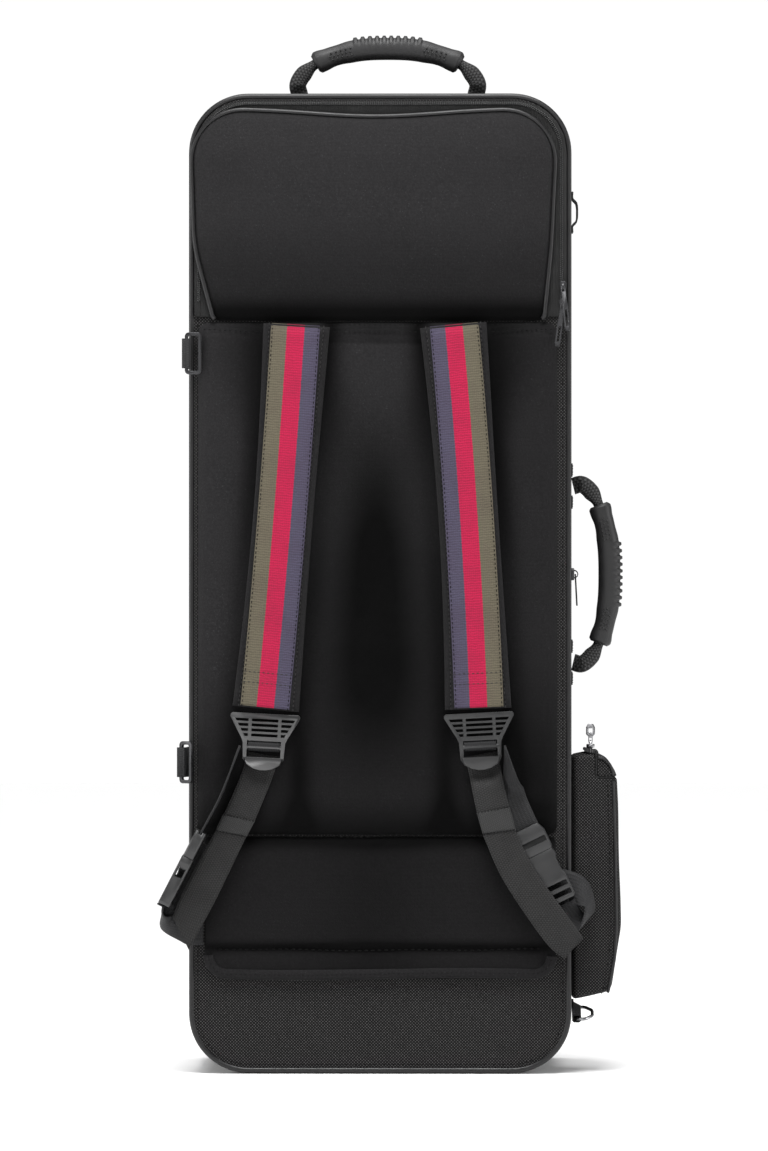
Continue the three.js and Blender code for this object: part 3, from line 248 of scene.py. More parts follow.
def edge_distance(outline, x, z):
    """How far points lie inside a closed outline."""
    nearest = np.full(x.shape, np.inf)
    outline = np.asarray(outline, float)
    for start, end in zip(outline, np.roll(outline, -1, axis=0)):
        along = end - start
        length = along @ along
        if length < 1e-12:
            continue
        t = np.clip(((x - start[0]) * along[0] + (z - start[1]) * along[1]) / length, 0, 1)
        nearest = np.minimum(nearest, np.hypot(x - start[0] - t * along[0], z - start[1] - t * along[1]))
    return nearest


# Meshes

def in_metres(points):
    """Points given in millimetres from the rim plane, in the frame's metres."""
    return (np.asarray(points, float) + [0, RIM_SHIFT, 0]) * MM


def from_rim(places):
    """Places in the frame's metres, in millimetres from the rim plane."""
    return places / MM - [0, RIM_SHIFT, 0]


def read_mesh(mesh, key="co"):
    """The places or the normals of a mesh's points."""
    values = np.zeros(len(mesh.vertices) * 3, np.float32)
    mesh.vertices.foreach_get(key, values)
    return values.reshape(-1, 3)


def move_mesh(mesh, places):
    mesh.vertices.foreach_set("co", places.astype(np.float32).ravel())
    mesh.update()


def linked(name, data):
    """A new object in the scene."""
    made = bpy.data.objects.new(name, data)
    bpy.context.scene.collection.objects.link(made)
    return made


def new_object(name, points, faces, material, uv=None, smooth=True):
    """A mesh object at the origin. Points are in millimetres from the rim plane."""
    mesh = bpy.data.meshes.new(name)
    mesh.from_pydata(in_metres(points).tolist(), [], [list(map(int, f)) for f in faces])
    mesh.validate()
    if uv is not None:
        layer = mesh.uv_layers.new(name="UVMap")
        index = np.zeros(len(mesh.loops), int)
        mesh.loops.foreach_get("vertex_index", index)
        layer.data.foreach_set("uv", (np.asarray(uv, float) * MM)[index].astype(np.float32).ravel())
    return dressed(linked(name, mesh), material, smooth)


def dressed(made, material, smooth=True):
    """Gives an object its material, outward faces and a cloth UV map where it has none."""
    mesh = made.data
    mesh.materials.clear()
    mesh.materials.append(material)
    work = bmesh.new()
    work.from_mesh(mesh)
    bmesh.ops.recalc_face_normals(work, faces=work.faces)
    work.to_mesh(mesh)
    work.free()
    if not mesh.uv_layers:
        flat_uv(mesh)
    mesh.shade_smooth()
    if smooth is not True:
        mesh.set_sharp_from_angle(angle=math.radians(smooth or 1))
    return made


def flat_uv(mesh):
    """Lays cloth on every face from the direction that it faces most, in metres."""
    layer = mesh.uv_layers.new(name="UVMap")
    for face in mesh.polygons:
        normal = [abs(v) for v in face.normal]
        axis = normal.index(max(normal))
        first, second = ((1, 2), (0, 2), (0, 1))[axis]
        for loop in face.loop_indices:
            place = mesh.vertices[mesh.loops[loop].vertex_index].co
            layer.data[loop].uv = (place[first], place[second])


def loft(rings, closed=False):
    """Points and faces of a skin through rings of one count. An open run is capped."""
    count = len(rings[0])
    total = len(rings)
    faces = []
    for i in range(total if closed else total - 1):
        near = i * count
        far = (i + 1) % total * count
        for j in range(count):
            k = (j + 1) % count
            faces.append((near + j, near + k, far + k, far + j))
    if not closed:
        faces.append(tuple(range(count))[::-1])
        faces.append(tuple(range((total - 1) * count, total * count)))
    return np.vstack(rings), faces


def finished(made, body, nodes=()):
    """Puts a finished piece on its body and hides the solids that it stands for."""
    if nodes:
        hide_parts(*nodes)
    if body:
        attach(made, body)
    return made


def bending(made, bodies, start, end, nodes=(), slot=None, fill=None):
    """Hides the solids that a finished piece stands for and bakes its place into its mesh, without putting it
    on a body.
    """
    finished(made, None, nodes)
    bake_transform(made)
    return made


def baked(made, name):
    """The plain mesh of an object with its modifiers, in place of the object."""
    bpy.context.view_layer.update()
    graph = bpy.context.evaluated_depsgraph_get()
    mesh = bpy.data.meshes.new_from_object(made.evaluated_get(graph))
    old = made.data
    bpy.data.objects.remove(made)
    if old.users == 0:
        bpy.data.meshes.remove(old)
    mesh.name = name
    return linked(name, mesh)


def solid_copy(node, name, flat_angle=0.0):
    """A copy of a solid with its points joined.

    Faces join too, where they meet at less than the flat angle in degrees.
    """
    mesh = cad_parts[node].data.copy()
    work = bmesh.new()
    work.from_mesh(mesh)
    bmesh.ops.remove_doubles(work, verts=work.verts, dist=JOIN_DISTANCE)
    if flat_angle:
        bmesh.ops.dissolve_limit(
            work, angle_limit=math.radians(flat_angle), verts=work.verts, edges=work.edges,
        )
    work.to_mesh(mesh)
    work.free()
    return linked(name, mesh)


def newly_dressed(made, material, sharp):
    """Takes off what cloth UV maps a solid's copy came with, and dresses it."""
    while made.data.uv_layers:
        made.data.uv_layers.remove(made.data.uv_layers[0])
    return dressed(made, material, sharp)


def softened(node, name, material, edge=0.4, segments=2, sharp=50):
    """A copy of a solid with its edges rounded over."""
    made = solid_copy(node, name, flat_angle=1.5)
    bevel = made.modifiers.new("edge", "BEVEL")
    bevel.width = edge * MM
    bevel.segments = segments
    bevel.limit_method = "ANGLE"
    bevel.angle_limit = math.radians(28)
    return newly_dressed(baked(made, name), material, sharp)


# Panels: quilted and stuffed pieces with a front and a back

def patch(outline, corners, columns, rows):
    """A grid of x and z over an outline that is split at four of its points."""
    outline = np.asarray(outline, float)
    sides = []
    for start, end in zip(corners, corners[1:] + corners[:1]):
        span = np.arange(start, end + 1 if end > start else end + 1 + len(outline)) % len(outline)
        sides.append(outline[span])
    bottom = resampled(sides[0], columns + 1)
    right = resampled(sides[1], rows + 1)
    top = resampled(sides[2], columns + 1)[::-1]
    left = resampled(sides[3], rows + 1)[::-1]
    s = np.linspace(0, 1, columns + 1)[None, :, None]
    t = np.linspace(0, 1, rows + 1)[:, None, None]
    across = (1 - t) * bottom[None] + t * top[None]
    upward = (1 - s) * left[:, None] + s * right[:, None]
    four = (
        (1 - s) * (1 - t) * bottom[0] + s * (1 - t) * bottom[-1] + (1 - s) * t * top[0] + s * t * top[-1]
    )
    return across + upward - four


def panel(grid, front, back):
    """Points, faces and cloth coordinates of a closed panel over a grid."""
    rows, columns = grid.shape[:2]
    x, z = grid[..., 0], grid[..., 1]
    sheets = [np.stack([x, np.broadcast_to(y, x.shape), z], axis=-1).reshape(-1, 3) for y in (front, back)]
    offset = rows * columns
    index = np.arange(offset).reshape(rows, columns)
    quads = np.stack([
        index[:-1, :-1], index[:-1, 1:], index[1:, 1:], index[1:, :-1],
    ], axis=-1).reshape(-1, 4)
    edge = np.concatenate([index[0, :-1], index[:-1, -1], index[-1, :0:-1], index[:0:-1, 0]])
    after = np.roll(edge, -1)
    rim = np.stack([edge, edge + offset, after + offset, after], axis=-1)
    faces = [*quads, *(quads + offset)[:, ::-1], *rim]
    points = np.vstack(sheets)
    return points, faces, points[:, [0, 2]]


def cushion(name, outline, corners, cell, rim, rise, shape, back=None):
    """A neoprene panel that swells from its edge. Depths run towards -Y from the rim."""
    outline = np.asarray(outline, float)
    span = outline.max(0) - outline.min(0)
    grid = patch(outline, corners, int(span[0] / cell), int(span[1] / cell))
    x, z = grid[..., 0], grid[..., 1]
    inside = edge_distance(outline, x, z)
    height = rise * np.interp(inside, *zip(*SOFT_EDGE)) + shape(x, z, inside)
    points, faces, uv = panel(grid, rim - height, rim if back is None else back)
    return new_object(name, points, faces, FINISH["neoprene"], uv)


def held_rim(outline, reach, rear):
    """What a stuffed panel is held by: its edge, to a reach, and all that lies behind a depth."""

    def hold(places):
        edge = edge_distance(outline, places[:, 0], places[:, 2]) < reach
        return np.where(edge | (places[:, 1] > rear), 1.0, 0.0)

    return hold


def stuffed(made, limit, hold):
    """Blows a panel up a little with cloth, so that it takes real tension, close to its first shape."""
    if not FULL_WORK:
        return made
    start = read_mesh(made.data)
    group = made.vertex_groups.new(name="held")
    held = hold(from_rim(start))
    for value in np.unique(held):
        group.add(np.nonzero(held == value)[0].tolist(), float(value), "REPLACE")
    cloth = made.modifiers.new("cloth", "CLOTH").settings
    cloth.use_pressure = True
    cloth.uniform_pressure_force = 3.0
    cloth.quality = 5
    cloth.mass = 0.25
    cloth.tension_stiffness = 15.0
    cloth.compression_stiffness = 15.0
    cloth.bending_stiffness = 2.0
    cloth.effector_weights.gravity = 0
    cloth.vertex_group_mass = "held"
    scene = bpy.context.scene
    for step in range(1, CLOTH_FRAMES + 1):
        scene.frame_set(step)
    name, material = made.name, made.data.materials[0]
    made.name = name + "_raw"
    plain = baked(made, name)
    scene.frame_set(1)
    shift = read_mesh(plain.data) - start
    reach = np.linalg.norm(shift, axis=1, keepdims=True)
    shift *= limit * MM * np.tanh(reach / (limit * MM)) / np.maximum(reach, 1e-9)
    move_mesh(plain.data, start + shift)
    plain.vertex_groups.clear()
    return dressed(plain, material)


def swept(name, path, across, section, material, wide=1.0, thick=1.0):
    """A skin of one section along a path. The section's first number runs across, its second outwards."""
    path = np.asarray(path, float)
    across = np.broadcast_to(np.asarray(across, float), path.shape)
    wide = np.broadcast_to(wide, len(path))
    thick = np.broadcast_to(thick, len(path))
    across = across / np.linalg.norm(across, axis=1, keepdims=True)
    outward = np.cross(np.gradient(path, axis=0), across)
    outward /= np.linalg.norm(outward, axis=1, keepdims=True)
    section = np.asarray(section, float)
    rings = (
        path[:, None] + across[:, None] * (section[None, :, :1] * wide[:, None, None])
        + outward[:, None] * (section[None, :, 1:] * thick[:, None, None])
    )
    points, faces = loft(list(rings))
    steps = np.linalg.norm(np.diff(path, axis=0), axis=1)
    length = np.concatenate([[0], np.cumsum(steps)])
    spread = section[:, 0] - section[:, 0].min()
    u = np.outer(np.full(len(path), wide.mean()), spread).ravel()
    uv = np.stack([u, np.repeat(length, len(section))], axis=1)
    return new_object(name, points, faces, material, uv)


def flat_section(width, thickness, steps=8):
    """The section of a woven band, with round edges."""
    half = width / 2
    rim = thickness / 2
    inner = np.linspace(half - rim, rim - half, steps)
    front = np.stack([inner, np.full(steps, rim)], axis=1)
    back = np.stack([inner[::-1], np.full(steps, -rim)], axis=1)
    return np.vstack([front, [(-half, 0)], back, [(half, 0)]])


def pillow_section(width, height, fullness, steps=24):
    """A rounded section between an oval, at 2, and a block."""
    turn = np.linspace(0, 2 * math.pi, steps, endpoint=False) + 1e-9
    c, s = np.cos(turn), np.sin(turn)
    power = 2 / fullness
    return np.stack([
        np.sign(c) * np.abs(c) ** power * width / 2, np.sign(s) * np.abs(s) ** power * height / 2,
    ], axis=1)


def band(name, stations, thickness, material, per_span=6):
    """A woven band through pairs of edge points."""
    stations = smooth_run([[*a, *b] for a, b in stations], per_span)
    left, right = stations[:, :3], stations[:, 3:6]
    width = np.linalg.norm(right - left, axis=1)
    section = flat_section(1000, 1000 * thickness / width.mean())
    section[:, 1] *= width.mean() / 1000
    return swept(name, (left + right) / 2, right - left, section, material, wide=width / 1000)


def webbing_run(name, places, ways, width):
    """A stiff band of black webbing through given points, each with its own way across."""
    run = smooth_run([[*a, *b] for a, b in zip(places, ways)], 7)
    return swept(name, run[:, :3], run[:, 3:], flat_section(width, 1.6), FINISH["webbing"])


def relief(made, shape, front=-111.6):
    """Halves a panel's cells, and presses seams and hems into its front. Depths are in millimetres."""
    finer = made.modifiers.new("finer", "SUBSURF")
    finer.levels = finer.render_levels = 1
    name, material = made.name, made.data.materials[0]
    made.name = name + "_coarse"
    plain = baked(made, name)
    place = from_rim(read_mesh(plain.data))
    facing = place[:, 1] < front
    pressed = shape(place[:, 0], place[:, 2]) * np.clip((front - place[:, 1]) / 3, 0, 1)
    place[:, 1] += np.where(facing, pressed, 0)
    place[:, 1] = np.where(facing, np.minimum(place[:, 1], front + 0.2), place[:, 1])
    move_mesh(plain.data, in_metres(place))
    return dressed(plain, material)


def mark_painted_shade(made, shade):
    """Marks where painted shade darkens a pad, from 0 to 1."""
    place = read_mesh(made.data) / MM
    layer = made.data.attributes.new("nap", "FLOAT", "POINT")
    layer.data.foreach_set("value", np.clip(shade(place[:, 0], place[:, 2]), 0, 1).astype(np.float32))
    return made


def groove(distance, width, depth):
    """A sewn channel's depth at a distance from its line."""
    return depth * np.exp(-(distance / width) ** 2)


def draped(node, name, material, cell, rounds, amount, size, seed):
    """A soft copy of a sewn solid: its edges sink in, and its faces swell and wander."""
    made = solid_copy(node, name + "_raw")
    remesh = made.modifiers.new("cells", "REMESH")
    remesh.mode = "VOXEL"
    remesh.voxel_size = cell * MM
    smooth = made.modifiers.new("soft", "SMOOTH")
    smooth.factor = 0.5
    smooth.iterations = rounds
    made = baked(made, name)
    made.data.update()
    place = read_mesh(made.data)
    normal = read_mesh(made.data, "normal")
    wave = bulge(place[:, 0] / MM + place[:, 1] / MM, place[:, 2] / MM, seed, size, amount)
    move_mesh(made.data, place + normal * wave[:, None] * MM)
    return newly_dressed(made, material, True)


# Geometry Nodes: rows of stitches and teeth, and tubes along a path

ROW_TREE = "row along a path"
TUBE_TREE = "tube along a path"


def add_node(tree, kind, *values, **settings):
    """A node with its settings and, in order, its inputs: a socket is joined and a value is set."""
    made = tree.nodes.new(kind)
    for key, value in settings.items():
        setattr(made, key, value)
    for place, value in enumerate(values):
        if isinstance(value, bpy.types.NodeSocket):
            tree.links.new(value, made.inputs[place])
        elif value is not None:
            made.inputs[place].default_value = value
    return made


def new_tree(name, inputs):
    tree = bpy.data.node_groups.new(name, "GeometryNodeTree")
    tree.interface.new_socket("Geometry", in_out="INPUT", socket_type="NodeSocketGeometry")
    for label, kind, default in inputs:
        socket = tree.interface.new_socket(label, in_out="INPUT", socket_type="NodeSocket" + kind)
        if default is not None:
            socket.default_value = default
    tree.interface.new_socket("Geometry", in_out="OUTPUT", socket_type="NodeSocketGeometry")
    return tree, tree.nodes.new("NodeGroupInput").outputs, tree.nodes.new("NodeGroupOutput").inputs


def spaced_line(tree, given):
    """The given path as a curve with points at even spacing."""
    line = add_node(tree, "GeometryNodeMeshToCurve", given["Geometry"])
    spaced = tree.nodes.new("GeometryNodeResampleCurve")
    spaced.mode = "LENGTH"
    tree.links.new(line.outputs[0], spaced.inputs["Curve"])
    tree.links.new(given["Spacing"], spaced.inputs["Length"])
    return spaced.outputs[0]


def close_tree(tree, geometry, given, result):
    """Ends a tree in real meshes with their material, because the export drops instances."""
    real = add_node(tree, "GeometryNodeRealizeInstances", geometry)
    coated = tree.nodes.new("GeometryNodeSetMaterial")
    tree.links.new(real.outputs[0], coated.inputs["Geometry"])
    tree.links.new(given["Material"], coated.inputs["Material"])
    tree.links.new(coated.outputs[0], result["Geometry"])


def row_tree():
    """Beads at even spacing along a path: stitches, zip teeth and moulded dots."""
    tree, given, result = new_tree(ROW_TREE, [
        ("Spacing", "Float", 0.004), ("Length", "Float", 0.003), ("Width", "Float", 0.001),
        ("Height", "Float", 0.001), ("Unevenness", "Float", 0.1), ("Seed", "Int", 1),
        ("Material", "Material", None),
    ])
    line = spaced_line(tree, given)
    bead = add_node(tree, "GeometryNodeMeshUVSphere", 6, 4, 0.5)
    tangent = tree.nodes.new("GeometryNodeInputTangent").outputs[0]
    outward = add_node(tree, "GeometryNodeInputNamedAttribute", "out", data_type="FLOAT_VECTOR").outputs[0]
    along = add_node(tree, "FunctionNodeAlignRotationToVector", None, 1.0, tangent, axis="X").outputs[0]
    turned = add_node(
        tree, "FunctionNodeAlignRotationToVector", along, 1.0, outward, axis="Z", pivot_axis="X",
    ).outputs[0]
    size = add_node(
        tree, "ShaderNodeCombineXYZ", given["Length"], given["Width"], given["Height"],
    ).outputs[0]
    least = add_node(tree, "ShaderNodeMath", 1.0, given["Unevenness"], operation="SUBTRACT").outputs[0]
    chance = tree.nodes.new("FunctionNodeRandomValue")
    chance.data_type = "FLOAT"
    lowest, highest = [socket for socket in chance.inputs if socket.type == "VALUE"][:2]
    tree.links.new(least, lowest)
    highest.default_value = 1.0
    tree.links.new(given["Seed"], chance.inputs["Seed"])
    drawn = next(socket for socket in chance.outputs if socket.type == "VALUE")
    uneven = add_node(tree, "ShaderNodeVectorMath", size, operation="SCALE")
    tree.links.new(drawn, uneven.inputs["Scale"])
    placed = tree.nodes.new("GeometryNodeInstanceOnPoints")
    tree.links.new(line, placed.inputs["Points"])
    tree.links.new(bead.outputs["Mesh"], placed.inputs["Instance"])
    tree.links.new(turned, placed.inputs["Rotation"])
    tree.links.new(uneven.outputs[0], placed.inputs["Scale"])
    close_tree(tree, placed.outputs[0], given, result)


def tube_tree():
    """A round tube along a path: piping and cord edging."""
    tree, given, result = new_tree(TUBE_TREE, [
        ("Spacing", "Float", 0.004), ("Radius", "Float", 0.002), ("Sides", "Int", 12),
        ("Material", "Material", None),
    ])
    ring = tree.nodes.new("GeometryNodeCurvePrimitiveCircle")
    tree.links.new(given["Sides"], ring.inputs["Resolution"])
    tree.links.new(given["Radius"], ring.inputs["Radius"])
    skin = tree.nodes.new("GeometryNodeCurveToMesh")
    tree.links.new(spaced_line(tree, given), skin.inputs["Curve"])
    tree.links.new(ring.outputs[0], skin.inputs["Profile Curve"])
    skin.inputs["Fill Caps"].default_value = True
    close_tree(tree, skin.outputs[0], given, result)


def along_paths(name, lines, tree, material, **sizes):
    """Runs a tree over lines. Each line is its points, the way out and whether it closes."""
    points, outs, edges = [], [], []
    for line, out, closed in lines:
        first = len(points)
        line = in_metres(line)
        points.extend(line.tolist())
        outs.extend(np.broadcast_to(np.asarray(out, float), line.shape).tolist())
        edges.extend((first + i, first + i + 1) for i in range(len(line) - 1))
        if closed:
            edges.append((first + len(line) - 1, first))
    mesh = bpy.data.meshes.new(name + "_path")
    mesh.from_pydata(points, edges, [])
    layer = mesh.attributes.new("out", "FLOAT_VECTOR", "POINT")
    layer.data.foreach_set("vector", np.array(outs, np.float32).ravel())
    made = linked(name + "_path", mesh)
    group = bpy.data.node_groups[tree]
    modifier = made.modifiers.new("row", "NODES")
    modifier.node_group = group
    values = {key.capitalize(): value for key, value in sizes.items()}
    values["Material"] = material
    for socket in group.interface.items_tree:
        if socket.in_out == "INPUT" and socket.name in values:
            modifier[socket.identifier] = values[socket.name]
    return dressed(baked(made, name), material)


def piping_cord(name, lines, radius, spacing=3.0, sides=12):
    """Round vinyl piping along lines. Lengths are in millimetres."""
    return along_paths(
        name, lines, TUBE_TREE, FINISH["piping"], spacing=spacing * MM, radius=radius * MM, sides=sides,
    )


def teeth(name, lines, seed, length=1.2, width=1.8, height=1.6, spacing=1.7):
    """The teeth of a zip's coil along lines. Lengths are in millimetres."""
    return along_paths(
        name, lines, ROW_TREE, FINISH["coil"], spacing=spacing * MM, length=length * MM, width=width * MM,
        height=height * MM, unevenness=0.02, seed=seed,
    )


def stitches(name, lines, seed, thread="dark_thread", length=None, spacing=None, width=0.85, height=0.7):
    """Rows of stitches. Lengths are in millimetres."""
    sewing = bpy.context.scene.case_sewing
    return along_paths(
        name, lines, ROW_TREE, FINISH[thread],
        spacing=sewing.stitch_gap if spacing is None else spacing * MM,
        length=sewing.stitch if length is None else length * MM,
        width=width * MM, height=height * MM, unevenness=0.14, seed=seed,
    )


# Finishes

class Finish:
    """A material's nodes, with the sums that its patterns are made of."""

    def __init__(self, name):
        self.material = bpy.data.materials.new(name)
        self.material.use_nodes = True
        self.tree = self.material.node_tree
        self.shader = self.tree.nodes["Principled BSDF"]
        place = self.tree.nodes.new("ShaderNodeTexCoord")
        self.object = place.outputs["Object"]
        self.uv = place.outputs["UV"]

    def add(self, kind, *values, **settings):
        return add_node(self.tree, kind, *values, **settings)

    def sum(self, operation, first, second=0.0, third=0.0):
        return self.add("ShaderNodeMath", first, second, third, operation=operation).outputs[0]

    def across_and_along(self):
        """The cloth coordinates, in millimetres."""
        grown = self.add("ShaderNodeVectorMath", self.uv, operation="SCALE")
        grown.inputs["Scale"].default_value = 1 / MM
        parts = self.add("ShaderNodeSeparateXYZ", grown.outputs[0])
        return parts.outputs[0], parts.outputs[1]

    def noise(self, size, detail=3.0, rough=0.5, place=None, distortion=0.0):
        """Soft noise with features of a size in millimetres."""
        made = self.add("ShaderNodeTexNoise")
        self.tree.links.new(self.object if place is None else place, made.inputs["Vector"])
        made.inputs["Scale"].default_value = 1 / (size * MM)
        made.inputs["Detail"].default_value = detail
        made.inputs["Roughness"].default_value = rough
        made.inputs["Distortion"].default_value = distortion
        return made.outputs["Fac"]

    def wave(self, value, period):
        turned = self.sum("MULTIPLY", value, 2 * math.pi / period)
        return self.sum("MULTIPLY_ADD", self.sum("SINE", turned), 0.5, 0.5)

    def ramp(self, value, low, high, to_low=0.0, to_high=1.0):
        made = self.add("ShaderNodeMapRange", value, low, high, to_low, to_high)
        made.interpolation_type = "SMOOTHSTEP"
        return made.outputs[0]

    def mix(self, share, first, second):
        made = self.add("ShaderNodeMix", data_type="RGBA", clamp_factor=True)
        for socket, value in zip((made.inputs[0], made.inputs[6], made.inputs[7]), (share, first, second)):
            if isinstance(value, bpy.types.NodeSocket):
                self.tree.links.new(value, socket)
            else:
                socket.default_value = value if socket is made.inputs[0] else (*value, 1.0)
        return made.outputs[2]

    def finish(self, colour, roughness, height=None, depth=0.2, **constants):
        """Joins the shader. The relief's depth is in millimetres, and constants name shader sockets."""
        for key, value in (("Base Color", colour), ("Roughness", roughness)):
            socket = self.shader.inputs[key]
            if isinstance(value, bpy.types.NodeSocket):
                self.tree.links.new(value, socket)
            else:
                socket.default_value = (*value, 1.0) if key == "Base Color" else value
        if height is not None:
            bump = self.add("ShaderNodeBump")
            bump.inputs["Strength"].default_value = 1.0
            bump.inputs["Distance"].default_value = depth * MM
            self.tree.links.new(height, bump.inputs["Height"])
            self.tree.links.new(bump.outputs[0], self.shader.inputs["Normal"])
        for key, value in constants.items():
            self.shader.inputs[key.replace("_", " ")].default_value = value
        return self.material


def tone(colour, factor):
    return tuple(channel * factor for channel in colour)


def knit_finish(name, colour, wale=0.9, lint=0.5):
    """Fine knit over foam: rows of small loops, with lint, slow changes of tone, and painted shade where a
    piece marks it.
    """
    cloth = Finish(name)
    u, v = cloth.across_and_along()
    bend = cloth.sum("MULTIPLY", cloth.wave(u, wale), 0.4)
    loops = cloth.sum("MULTIPLY", cloth.wave(u, wale), cloth.wave(cloth.sum("ADD", v, bend), wale * 1.3))
    slow = cloth.noise(46, detail=4)
    fine = cloth.noise(1.6, detail=2)
    shade = cloth.mix(slow, tone(colour, 0.72), tone(colour, 1.35))
    shade = cloth.mix(cloth.sum("MULTIPLY", loops, 0.55), shade, tone(colour, 2.1))
    shade = cloth.mix(cloth.ramp(fine, 0.35, 0.7, 0.0, 0.4), shade, tone(colour, 2.2))
    specks = cloth.ramp(cloth.noise(1.1, detail=0, rough=0.2), 0.76, 0.81, 0.0, lint * 0.3)
    shade = cloth.mix(specks, shade, (0.11, 0.11, 0.115))
    # Painted shade: the knit darkens towards a near-black tone where the piece's attribute marks shadow and
    # shaded slopes.
    nap = cloth.add("ShaderNodeAttribute", attribute_name="nap").outputs["Fac"]
    shade = cloth.mix(nap, shade, tone(colour, 0.08))
    height = cloth.sum("MULTIPLY_ADD", loops, 0.6, cloth.sum("MULTIPLY", fine, 0.7))
    rough = cloth.ramp(slow, 0.3, 0.7, 0.78, 0.92)
    return cloth.finish(
        shade, rough, height, 0.22, Sheen_Weight=0.02, Sheen_Roughness=0.5, Specular_IOR_Level=0.05,
    )


def twill_finish(name, colour):
    """Dense nylon twill: a diagonal grid of small light points on a dark ground."""
    cloth = Finish(name)
    u, v = cloth.across_and_along()
    rise = cloth.wave(cloth.sum("ADD", u, v), 2.75)
    fall = cloth.wave(cloth.sum("SUBTRACT", u, v), 2.75)
    points = cloth.ramp(cloth.sum("MULTIPLY", rise, fall), 0.3, 0.75)
    slow = cloth.noise(60, detail=4)
    fine = cloth.noise(0.9, detail=1)
    ground = cloth.mix(slow, tone(colour, 0.4), tone(colour, 0.8))
    share = cloth.sum("MULTIPLY", points, cloth.ramp(fine, 0.3, 0.7, 0.55, 1.0))
    shade = cloth.mix(share, ground, tone(colour, 13.0))
    rough = cloth.ramp(points, 0, 1, 0.72, 0.55)
    height = cloth.sum("MULTIPLY_ADD", points, 0.8, cloth.sum("MULTIPLY", fine, 0.25))
    return cloth.finish(shade, rough, height, 0.16, Sheen_Weight=0.01, Specular_IOR_Level=0.12)


def webbing_finish(name, colour, rib=1.5, column=3.2, light=2.3):
    """Woven webbing: ribs across the band, broken by lengthwise columns."""
    cloth = Finish(name)
    u, v = cloth.across_and_along()
    shift = cloth.sum("MULTIPLY", cloth.sum("FLOOR", cloth.sum("DIVIDE", u, column)), rib / 2)
    ribs = cloth.wave(cloth.sum("ADD", v, shift), rib)
    columns = cloth.wave(u, column)
    height = cloth.sum("MULTIPLY_ADD", columns, 0.5, cloth.sum("MULTIPLY", ribs, 0.8))
    slow = cloth.noise(18, detail=4)
    ground = cloth.mix(slow, tone(colour, 0.7), tone(colour, 1.25))
    shade = cloth.mix(cloth.ramp(height, 0.35, 1.2), ground, tone(colour, light))
    return cloth.finish(
        shade, cloth.ramp(slow, 0.3, 0.7, 0.55, 0.75), height, 0.22, Sheen_Weight=0.02,
        Specular_IOR_Level=0.22,
    )


def striped_finish(name, bands, widths):
    """Three woven bands side by side, with fine ribs across them."""
    cloth = Finish(name)
    u, v = cloth.across_and_along()
    stray = cloth.noise(3.2, detail=2)
    ribs = cloth.wave(cloth.sum("MULTIPLY_ADD", stray, 2.4, v), 2.2)
    yarns = cloth.wave(u, 1.7)
    slow = cloth.noise(24, detail=4)
    edge = cloth.sum("MULTIPLY_ADD", cloth.noise(1.3, detail=1), 0.7, u)
    shade = tuple(bands[0])
    at = 0.35
    for colour, width in zip(bands[1:], widths):
        at += width
        shade = cloth.mix(cloth.ramp(edge, at - 0.3, at + 0.3), shade, tuple(colour))
    shade = cloth.mix(cloth.sum("MULTIPLY", ribs, 0.3), shade, (0.012, 0.008, 0.01))
    shade = cloth.mix(cloth.sum("MULTIPLY", yarns, 0.12), shade, (0.012, 0.008, 0.01))
    shade = cloth.mix(cloth.ramp(slow, 0.35, 0.75, 0.0, 0.14), shade, (0.03, 0.012, 0.02))
    height = cloth.sum("MULTIPLY_ADD", yarns, 0.35, ribs)
    return cloth.finish(shade, 0.7, height, 0.16, Sheen_Weight=0.02, Specular_IOR_Level=0.1)


def smooth_finish(name, colour, roughness, grain=0.5, depth=0.04, mottle=0.25, **constants):
    """Moulded, painted or drawn surfaces: fine grain, with slow changes of gloss and tone."""
    surface = Finish(name)
    slow = surface.noise(22, detail=5, rough=0.6)
    fine = surface.noise(grain, detail=2)
    shade = surface.mix(slow, tone(colour, 1 - mottle), tone(colour, 1 + mottle))
    rough = surface.ramp(slow, 0.25, 0.75, roughness * 0.85, min(roughness * 1.2, 1))
    return surface.finish(shade, rough, fine, depth, **constants)


def plush_finish(name, colour):
    """Short pile that lies in slow drifts."""
    cloth = Finish(name)
    drift = cloth.noise(38, detail=3, distortion=0.8)
    pile = cloth.noise(1.2, detail=3, rough=0.7)
    shade = cloth.mix(drift, tone(colour, 0.6), tone(colour, 1.7))
    shade = cloth.mix(cloth.ramp(pile, 0.45, 0.75, 0.0, 0.5), shade, tone(colour, 3.0))
    return cloth.finish(
        shade, 0.95, pile, 0.6, Sheen_Weight=0.7, Sheen_Roughness=0.35, Specular_IOR_Level=0.2,
    )


